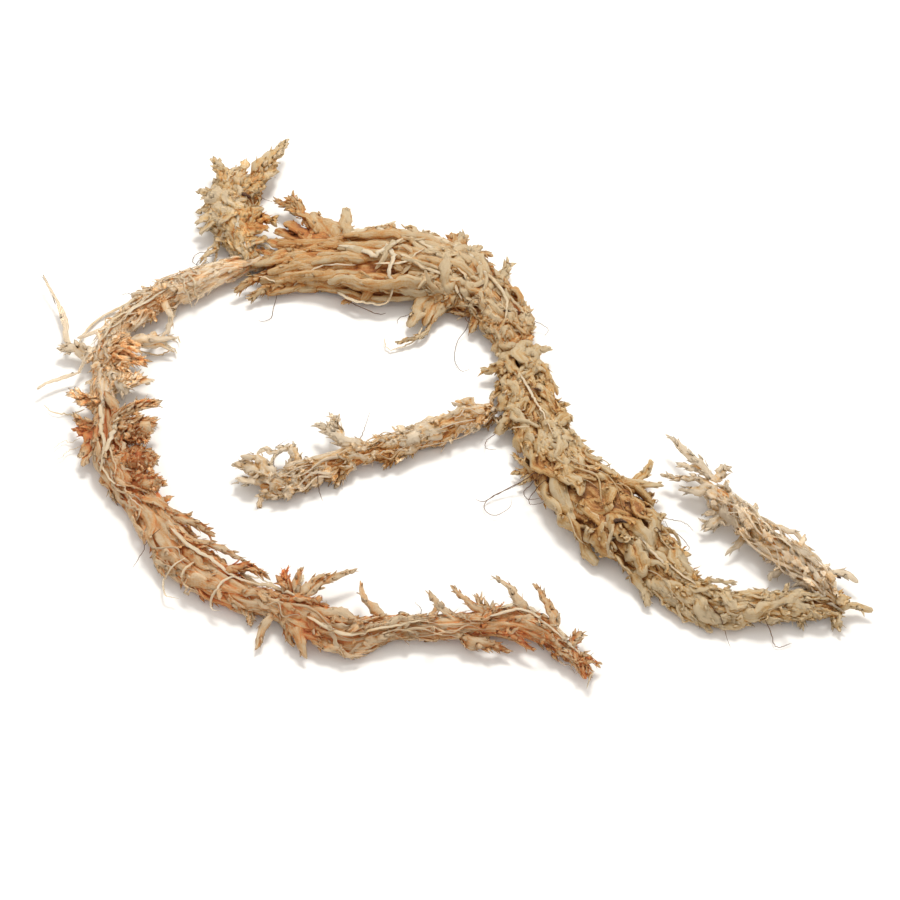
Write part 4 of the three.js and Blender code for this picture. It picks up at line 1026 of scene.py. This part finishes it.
STRAW = [(0, "BAAB95"), (0.3, "B89F7C"), (0.6, "B48C56"), (0.85, "AE743A"), (1, "905828")]
INNER_PATH = [
    [10, 9, 2.8, 0.8], [4, 6.4, 3.8, 0.5], [-4, 2.4, 4.4, 0], [-12, -0.6, 4.4, -0.25],
    [-20, -4, 3.2, 0.3], [-28, -8, 3.6, 0], [-36, -11.6, 3.8, -0.25], [-42, -12.2, 3.6, -0.25],
]
INNER_BRANCHES = [
    [10, 11, 4, -6, 4.5, 4.6, 0.4, 0.6, 1.2, 0.3],
    [-2, 7, 4.6, -20, -2.5, 4, 0.5, 0.4, 1.1, 0.3],
    [-16, -2, 4.6, -37, -8.5, 4, -0.5, 0.4, 1.2, 0.3],
    [8, 8, 4, 0.5, 10.5, 4, 1.2, 0.6, 1.6, 0.3],
    [1, 11, 4, 7, 7, 4, 1, 0.4, 1.2, 0.3],
    [-4, 3, 4.6, -14, -3, 3, -0.8, 0.6, 2, 0.8],
    [-9, 0, 3, -14.5, -6.5, 1.6, -0.4, 0.2, 1.4, 1.2],
    [-19, -2.5, 4, -30.5, 4, 4.6, 0.5, 0.4, 1.8, 1.2],
    [-24, 0.5, 4.4, -26.5, 6.5, 4.4, 0.4, 0.4, 1.4, 1],
    [-22, -5, 3, -25, -11, 1.6, 0.4, 0.2, 1.8, 1],
    [-35, -8, 3.6, -34.5, -2.5, 5, 0.4, 0.2, 1.6, 0.5],
    [-34.6, -3.4, 4.6, -43, -4.5, 4, -0.8, 0, 1.2, 0.3],
    [-39, -11, 3, -48.5, -7.5, 3.6, -1.4, 0.2, 2.3, 0.8],
    [-38, -11, 3, -46.5, -5.5, 4.6, -1, 0.4, 2, 0.8],
    [-41, -12, 3, -47.5, -10.5, 2.6, -0.6, 0.2, 2, 0.8],
    [-31, -9, 3, -42, -14.5, 1.6, -1.2, 0.2, 1.8, 0.3],
]
INNER_PADS = [
    [5, 6, 5, -4, 4, 4, 0.4, 0.8, 2.8],
    [-1, 4, 5, -9.5, 0.5, 4, 0.4, 0.8, 3],
    [-6, 1, 4, -13.5, -4.5, 3, 0, 0.4, 2.2],
]
inner = build_shoot(
    "inner", INNER_PATH, INNER_BRANCHES, pads=INNER_PADS,
    fills=[
        {"count": 60, "length": (4, 9), "radius": (1.2, 2.2), "drift": 1.2, "lift": 0.2,
         "share": (0.35, 0.75)},
        {**CURLS, "count": 8, "share": (0.5, 0.8)},
    ],
    look={**LOOK, "plump": (0.3, 0.6), "twist": 1.8, "groove": (0.1, 0.7), "lobes": 0.11,
          "creases": 3, "sway": 0.7, "tint": (-0.1, 0.2), "leaves": 6, "rope": 0.5, "soft": 2},
    scraps={"count": 40, "size": (1.6, 3), "lift": 0.3},
    colours=STRAW, spots=[(-13, -5, 3, 0.4), (-24, -10, 2.5, 0.3), (-20, -4, 6, 0.1)],
    seed=71,
)

# ---------------------------------------------------------------- east shoot
# Plump flattened branches, each like a pod with folded pale edges, grown from one stem and packed
# along it. The tissue is straw-coloured, with an amber hollow where wet branches decayed.

EAST_PATH = [
    [16, 26, 5, -0.25], [16.5, 18, 6.6, -0.25], [19, 9, 7.2, -0.25], [21, 0, 6.8, -0.25],
    [25, -9, 8.4, -0.25], [31, -17.5, 9.8, -0.25], [38, -26, 9, -0.25], [44, -34, 6.4, -0.25],
    [49, -41, 5, -0.25], [56, -45.5, 4.2, -0.25], [64, -46, 3.6, 0.3], [73, -45, 3.4, 0.5],
    [81, -45.5, 2.8, 0.3],
]
EAST_BRANCHES = [
    [15.5, 20, 4, 7, 21.5, 3, -0.4, 0.3, 1.4, 0.8],
    [14, 21, 3, 9, 13.5, 1.8, 0.6, 0.2, 1.7, 0.8],
    [17, 21, 5, 23.5, 28, 3.8, 0.8, 0.6, 2, 0.8],
    [19, 25, 4, 24.5, 14, 2.6, 1.2, 0.4, 1, 0.3],
    [22, 9, 4, 26, 10.5, 3, 0.4, 0.2, 1.2, 1.2],
    [17, 12, 6, 11, 2, 2.6, -0.6, 0.6, 1.9, 0.5],
    [16, 13, 5.6, 11, 8, 4, -0.6, 0.6, 1.4, 0.3],
    [12, 12, 6.2, 23, 1, 5.6, 1, 0.6, 1.1, 0.3],
    [22, 0, 5.5, 24.5, -15, 6, -0.6, 0.8, 1.4, 0.3],
    [22, -1, 6.2, 29, -17, 6.6, 2, 0.8, 1.8, 0.3],
    [31, -9, 7, 30, -19, 6, 1.2, 0.6, 1.3, 0.3],
    [24, 2, 5, 29, -6, 4.4, 0.8, 0.6, 1.8, 0.3],
    [23, -7, 3, 14, -8.5, 2, -0.5, 0.2, 1.4, 0.8],
    [16.5, -8.4, 2.2, 13.8, -2.5, 2.4, 0.6, 0, 1, 0.3],
    [24, -10, 3, 15, -11.5, 1.6, -0.6, 0.2, 1.1, 0.8],
    [31, -14, 7, 47, -14, 4.4, 0.6, 0.4, 1.6, 0.3],
    [40.5, -14.4, 4, 44.5, -6.5, 4.6, -0.9, 0, 1.3, 0.3],
    [31, -12, 7.2, 38.5, -21, 6, 1.6, 0.6, 1.4, 0.8],
    [28, -4, 4, 37, -9.5, 2.8, 0.8, 0.4, 1.5, 0.3],
    [41, -22, 3.4, 44.5, -14.5, 2.6, 0.4, 0.2, 1.2, 0.8],
    [42, -27, 3.4, 47, -20, 2.2, 0.4, 0.2, 1.4, 0.8],
    [25, -15, 4, 31.5, -34, 2, -1.2, 0.2, 1.7, 0.5],
    [29, -18, 7.6, 44, -31, 6, -1, 0.6, 1.4, 0.8],
    [33, -15, 6.5, 42, -27, 6, 0.8, 0.6, 2, 0.8],
    [36, -17, 6, 46, -30, 4, 0.8, 0.6, 1.8, 0.8],
    [38, -33, 3.4, 42, -44.5, 1.6, -0.4, 0.2, 1.6, 0.8],
    [47, -41, 3, 55, -51, 1.4, -0.6, 0.2, 1.4, 0.8],
    [51, -41, 3.4, 61, -39.5, 3.6, 0.8, 0.2, 1, 0.3],
    [70, -44, 4, 57, -43.5, 4.4, -0.4, 0.4, 1.3, 0.3],
    [79, -45, 3, 89, -46, 2.4, 0.3, 0, 1.1, 0.3],
    [80, -45, 2.8, 81.5, -50, 1.4, 0.3, 0, 1.3, 0.8],
    [73, -44, 2.6, 73.5, -49, 1.2, 0.3, 0, 1.2, 1],
    [45, -36, 5, 37.5, -31, 3.6, 0.8, 0.4, 1.3, 0.8],
]
east = build_shoot(
    "east", EAST_PATH, EAST_BRANCHES,
    fills=[
        {"count": 190, "length": (7, 13), "radius": (1.4, 2.6), "drift": 0.9, "lift": 0.15,
         "share": (0.58, 0.94)},
        {**CURLS, "count": 15},
    ],
    look={**LOOK, "groove": (0.3, 1.1), "lobes": 0.12, "tint": (-0.05, 0.25), "leaves": 6,
          "leaf": (1.2, 2.2), "soft": 1.1},
    scraps={"count": 90, "size": (1.6, 3.2), "lift": 0.3},
    colours=[(0, "B09E80"), (0.3, "AC9166"), (0.55, "A67E48"), (0.8, "925C28"), (1, "6A401C")],
    spots=[(37, -21, 9, 0.38), (20, -12, 4, 0.2), (19, 10, 5, 0.1), (64, -46, 14, -0.2)],
    seed=103,
)

# ---------------------------------------------------------------- tail shoot
# The side shoot that grows from the end of the east shoot and leans back over the loop's outside.
# It is pale dried tissue with bare pointed branch tips.

TAIL_PATH = [
    [80.5, -43, 3.4, 0.8], [74.5, -35.5, 4.6, 0.9], [68.5, -28.5, 4.8, 1], [62.5, -21.5, 4.6, 1.2],
    [57.5, -14.5, 3.8, 1.4],
]
TAIL_BRANCHES = [
    [58, -13, 4.6, 48, 0.5, 5, -0.8, 0.4, 1.5, 0.8],
    [58, -12, 5, 62, -8.5, 4.6, 0, 0.4, 1.3, 0.3],
    [59, -13, 4.6, 50, -7.5, 4.4, -0.6, 0.4, 1.1, 0.8],
    [58, -14, 4.2, 46.5, -10, 3.4, -0.5, 0.4, 0.9, 0.8],
    [60, -16, 4, 50, -14, 3, -0.6, 0.4, 1.8, 0.8],
    [63, -21, 3.6, 54.5, -24, 2.4, -0.4, 0.2, 2, 1.2],
    [66, -22, 3.2, 62.5, -28.5, 1.8, 0.5, 0.2, 1.2, 0.3],
    [70, -27, 3.6, 59, -31.5, 2, -1.8, 0.2, 1.2, 0.8],
    [73, -32, 3.2, 68, -38, 1.8, -0.4, 0.2, 1.3, 0.3],
    [69, -24, 5, 79.5, -34, 3.4, 1, 0.4, 1.1, 0.3],
    [73, -30, 5, 79, -38.5, 4, 0.8, 0.4, 1.4, 0.3],
    [76, -35, 4.4, 86.5, -39.5, 3.2, 0.6, 0.2, 1, 0.3],
]
tail = build_shoot(
    "tail", TAIL_PATH, TAIL_BRANCHES,
    fills=[
        {"count": 44, "length": (5, 10), "radius": (1.1, 2), "drift": 1, "lift": 0.2,
         "share": (0.3, 0.66)},
        {**CURLS, "count": 8, "share": (0.4, 0.75)},
    ],
    look={**LOOK, "plump": (0.3, 0.65), "twist": 1.8, "groove": (0.1, 0.7), "lobes": 0.1,
          "tint": (-0.25, 0), "leaves": 6, "rope": 0.45, "soft": 2},
    scraps={"count": 50, "size": (1.6, 3), "lift": 0.3},
    colours=STRAW, spots=[], seed=101,
)

# ---------------------------------------------------------------- loose ribbons
# Strips of bleached outer tissue and dead branches that have come loose, a quarter of a millimetre
# to two millimetres wide. They are held at their root, or only lie over the shoots.

# Each row: the half width, how far the end rises, and the x and y of the points it passes.
RIBBONS = {
    crown: [
        (0.45, 0, [(-56, 67), (-59, 62), (-60.5, 57.5)]),
        (0.4, 0, [(-54, 66), (-57, 61), (-57, 56.5)]),
        (0.7, 0, [(-52, 70), (-51, 64), (-49, 59)]),
        (0.5, 0.3, [(-48, 66), (-44, 63), (-42, 58)]),
    ],
    north: [
        (0.95, 0, [(-26, 63.5), (-18, 63.5), (-10, 59)]),
        (0.8, 1.5, [(-24, 63), (-19, 67), (-13, 70)]),
        (0.8, 0.3, [(-27, 57), (-21, 55), (-18, 52), (-15, 54.5), (-11, 58.5)]),
        (0.7, 0.3, [(-16, 57), (-13.5, 53), (-14.5, 48), (-12.5, 44.5)]),
        (0.5, 0, [(-27, 46), (-22, 43), (-16, 42), (-12.5, 46)]),
        (0.9, 0.3, [(-10, 60), (-4, 55), (2, 49), (6, 43)]),
        (0.8, 0.3, [(-6, 62), (1, 58), (7, 52), (9, 45)]),
        (0.7, 0.2, [(-12, 53), (-7, 50), (-1, 47), (3, 41)]),
        (0.4, 0.8, [(0, 60), (5, 59.5), (9, 56), (11, 52)]),
        (0.4, 0.3, [(-18, 50), (-11, 50.5), (-6, 55)]),
        (0.5, 0.3, [(6, 53), (10, 47), (13, 40), (13, 34)]),
        (0.35, 0, [(-6, 38), (-9, 32), (-14, 30), (-15.5, 33.5)]),
        (0.35, 0.2, [(-46, 50), (-38, 48.5), (-30, 51), (-22, 50)]),
    ],
    west: [
        (0.55, 0.3, [(-72, 44), (-78.5, 38.5), (-83.5, 31)]),
        (0.5, 0.5, [(-72, 46), (-80, 42.5), (-85.5, 36), (-87.5, 30)]),
        (0.45, 0.2, [(-70, 43), (-77, 36), (-81, 28)]),
        (0.4, 0.2, [(-66, 45), (-74, 38), (-78, 33), (-84, 30)]),
        (0.4, 1, [(-69, 34), (-66, 32), (-63.5, 28)]),
        (0.3, 1.2, [(-68, 33), (-65, 34), (-63, 31.5)]),
        (0.35, 0.5, [(-76, 30), (-70, 28.5), (-64, 30.5)]),
        (0.2, 1, [(-83, 11), (-88.5, 10), (-93, 12.5)]),
        (0.3, 0.5, [(-62, 49), (-60, 45), (-60.5, 42)]),
        (0.3, 0.5, [(-66, 48), (-63, 46.5), (-61, 41.5)]),
    ],
    south: [
        (0.6, 0.3, [(-79, 9), (-77.5, 0), (-76, -9)]),
        (0.7, 0.3, [(-73, 10), (-75.2, 0), (-77, -10.5)]),
        (0.25, 0.3, [(-76, -3), (-74, -8), (-73.5, -13)]),
        (0.25, 0.3, [(-78, -7), (-74, -13), (-70, -17), (-66, -22)]),
        (0.12, 0.8, [(-83, 2), (-87, 1.5), (-89.5, -1)]),
        (0.12, 0.8, [(-82, 0), (-86, -1.5), (-88.5, -5)]),
        (0.35, 0.6, [(-45, -39), (-49, -42), (-50.5, -45), (-48, -46.5)]),
        (0.25, 0.6, [(-56, -35), (-61, -38), (-60, -41.5), (-57, -43)]),
        (0.3, 0.4, [(-54, -36), (-57, -39.5), (-53, -42.5)]),
        (0.25, 0.5, [(-45, -37), (-40, -37), (-38, -38.5), (-40, -40)]),
        (0.4, 0.2, [(-31.5, -35), (-32, -38), (-32.5, -42)]),
        (0.6, 0, [(-60, -27), (-54, -33), (-47, -38), (-39, -42)]),
        (0.5, 0, [(-46, -36), (-40, -40), (-35, -43), (-29, -44.5)]),
        (0.5, 0, [(-30, -50), (-22, -54), (-14, -52.5), (-4, -50)]),
        (0.5, 0.2, [(10, -48), (14, -46.5), (20, -49), (24, -54)]),
        (0.45, 0.2, [(8, -50), (14, -48.5), (20, -51), (25, -57)]),
        (0.4, 0.2, [(22, -52), (26, -57), (29, -61), (28, -65)]),
    ],
    inner: [
        (0.4, 0, [(-39.5, -9), (-39.5, -5), (-39, -1), (-36, 2)]),
    ],
    east: [
        (0.35, 0.2, [(16, 17), (18, 11), (21, 5), (23, -2)]),
        (0.35, 0.3, [(13, 13), (10, 8), (13, 3), (18, 1)]),
        (0.4, 0.2, [(40, -30), (46, -37), (54, -43), (62, -45)]),
    ],
    tail: [
        (0.4, 0.2, [(73, -33), (69, -28), (65, -22), (61, -17)]),
    ],
}


def draped(shoot, route, rise, s):
    """Points at s of a smooth route over a shoot: as high as the oval outline under them, or coming
    down to the surface outside it, and rising by rise towards the end."""
    level = through(route, s)
    near = shoot.samples[shoot.nearest(level)]
    aside = np.linalg.norm(level - near[:, :2], axis=1) / near[:, 3]
    dome = near[:, 2] + shoot.half_height(near[:, 3]) * np.sqrt(np.clip(1 - aside**2, 0, 1))
    fall = near[:, 2] * np.exp(-1.5 * np.clip(aside - 1, 0, None)) + 0.2
    height = np.where(aside < 1, dome, fall) + rise * s**2
    return np.concatenate([level, height[:, None]], axis=1)


def laid(table, tint, name, material, seed, flat, turn, wave, bend):
    """One piece of all the strands of a table, which lie over their shoots, shake by wave from
    point to point, and bend to and fro by two slow sines."""
    draw = np.random.default_rng(seed)
    s = np.linspace(0, 1, STRAND_GRID[0])
    rows = [(shoot, row) for shoot, shoot_rows in table.items() for row in shoot_rows]
    centre = np.stack([draped(shoot, route, rise, s) for shoot, (_, rise, route) in rows])
    pick = picker(draw, len(rows), 1, 3)
    pace, start = pick(6, 14), pick(0, 6)
    calm = np.sin(np.pi * s)[None, :, None]
    centre = centre + wave * draw.standard_normal(centre.shape) * calm
    centre = centre + bend * np.sin(pace * s[None, :, None] + start) * calm * [1, 1, 0.4]
    outer = np.broadcast_to(UP, (len(rows), 1, 3))
    width = np.array([half_width for _, (half_width, _, _) in rows])
    part = strands(centre, outer, width, draw.uniform(*tint, len(rows)), draw, flat, turn)
    write_piece(name, [part], material)


# Bleached tissue: chalky strips, with little painted shade in their crevices. Light goes less far in
# them.
PALE = [(0, "C2B59E"), (0.4, "C0AB8A"), (0.7, "B69468"), (1, "8E643A")]
pale_tissue = dried_leaf("bleached_tissue", PALE, soft=0.6, crevice_shade=0.25)
laid(
    RIBBONS, (0, 0.35), "loose_ribbons", pale_tissue,
    seed=5, flat=0.3, turn=0.8, wave=0.12, bend=0.35,
)

# ---------------------------------------------------------------- rootlet hairs
# Fine dark hairs, a sixth to a quarter of a millimetre thick, that curl out of the shoots: dead
# rootlets of neighbouring plants caught among the branches. The short thick rows are crumbs of
# humus, which lie on the shoots.

ROOTLETS = {
    crown: [
        (0.09, 0.6, [(-57, 61), (-60, 60.5), (-61.5, 58.5), (-60, 57), (-58.5, 58.5), (-60.5, 60)]),
        (0.09, 0.8, [(-58, 62), (-61.5, 62), (-62.5, 59.5), (-61, 58), (-59.5, 59.5)]),
        (0.08, 0.5, [(-56, 60), (-59, 57.5), (-61.5, 57)]),
        (0.08, 1.5, [(-50, 78), (-47, 78.5), (-43.5, 77.5)]),
        (0.55, 0.2, [(-51.2, 76.2), (-50, 76), (-48.8, 75.6)]),
    ],
    north: [
        (0.1, 0, [(-41, 48), (-42, 43.5), (-42.5, 40.5), (-44.5, 39.5), (-45.5, 40)]),
        (0.14, 0.5, [(-26, 44.5), (-21, 41.5), (-17, 39.5), (-15, 39.5)]),
        (0.1, 0.5, [(5, 40), (4, 36), (2, 33), (1, 28), (2.5, 23.5), (5, 24)]),
        (0.09, 0.5, [(7, 38), (8, 34), (10, 31), (9.5, 28)]),
        (0.1, 1, [(10, 42), (4, 39.5), (1, 41), (3, 43), (7, 41), (6, 37.5)]),
        (0.1, 0.8, [(9, 40), (5, 37), (3.5, 39), (6, 41), (8.5, 38.5), (6, 36)]),
        (0.1, 1, [(14, 37), (19, 37.5), (23, 36), (22, 32.5)]),
        (0.09, 0.5, [(-9, 40), (-12, 38.5), (-12.5, 36.5)]),
        (0.08, 1.2, [(-33, 62), (-37, 63), (-39, 66), (-37.5, 68.5)]),
        (0.6, 0.2, [(3.2, 56), (5, 56.3), (7.5, 56)]),
        (0.4, 0.2, [(-0.4, 50.5), (1, 50), (2.4, 50.4)]),
        (0.35, 0.2, [(12.4, 37.2), (13.5, 37), (14.5, 36.4)]),
    ],
    west: [
        (0.1, 2.5, [(-94, 45), (-96, 50), (-98.5, 53)]),
        (0.09, 1, [(-74, 46), (-77, 48), (-78.5, 47)]),
    ],
    inner: [
        (0.1, 3, [(-21, 0), (-19.5, 4.5), (-18, 9)]),
        (0.09, 1.5, [(-38, -9), (-39.5, -4), (-39, 0), (-36, 2)]),
        (0.12, 0, [(-29, -9), (-29, -12.5), (-28, -15.5)]),
    ],
    east: [
        (0.13, 0.5, [(22, -12), (16, -11.5), (11, -13.5), (7.5, -15.5), (5.5, -15)]),
        (0.1, 0.5, [(15, -12), (9.5, -14), (7.5, -17), (9.5, -19.5), (13, -18), (13.5, -15.5)]),
        (0.11, 0.5, [(20, -12.5), (16.5, -14), (17, -16.5), (20, -17.5)]),
        (0.1, 0.8, [(22, -14), (18, -15.5), (17.5, -18), (21, -19)]),
        (0.1, 0.5, [(12, 4), (8.5, 2), (8, -0.5), (10.5, -1.5)]),
        (0.1, 0, [(54, -46), (57, -50), (58.5, -54.5)]),
        (0.11, 0, [(62, -46), (66.5, -50), (68, -54), (71.5, -53)]),
        (0.09, 0.5, [(46, -24), (50, -26.5), (51.5, -29.5), (49.5, -31)]),
        (0.08, 0.5, [(47, -22), (51, -22), (53, -24.5)]),
        (0.6, 0.2, [(35, -27), (36.3, -26.6), (37.8, -27.4)]),
        (0.4, 0.2, [(43.2, -28.4), (44.2, -28), (45.2, -28.6)]),
        (0.35, 0.2, [(19, 12.2), (19.8, 12), (20.6, 11.4)]),
    ],
    south: [
        (0.1, 0.5, [(-62, -27), (-66, -31), (-68, -34.5)]),
        (0.09, 1, [(-8, -50), (-6, -45.5), (-7.5, -43)]),
        (0.09, 0.5, [(25, -56), (28, -57), (30, -55.5)]),
    ],
    tail: [
        (0.09, 1, [(58, -12), (54, -6), (51, -5)]),
        (0.1, 0.5, [(80, -36), (83, -36.5), (84.5, -37)]),
        (0.5, 0.2, [(80.8, -37), (82, -36.8), (83.4, -37.2)]),
    ],
}
# Dead rootlet: dark brown and opaque, and a little glossier than leaf.
DARK = [(0, "6E4E34"), (0.5, "573A24"), (1, "2E2016")]
dark_root = dried_leaf("dried_rootlet", DARK, soft=0.05, crevice_shade=0.2, rough=0.5)
laid(
    ROOTLETS, (0.2, 0.7), "rootlet_hairs", dark_root,
    seed=9, flat=0.9, turn=2.5, wave=0.06, bend=0,
)
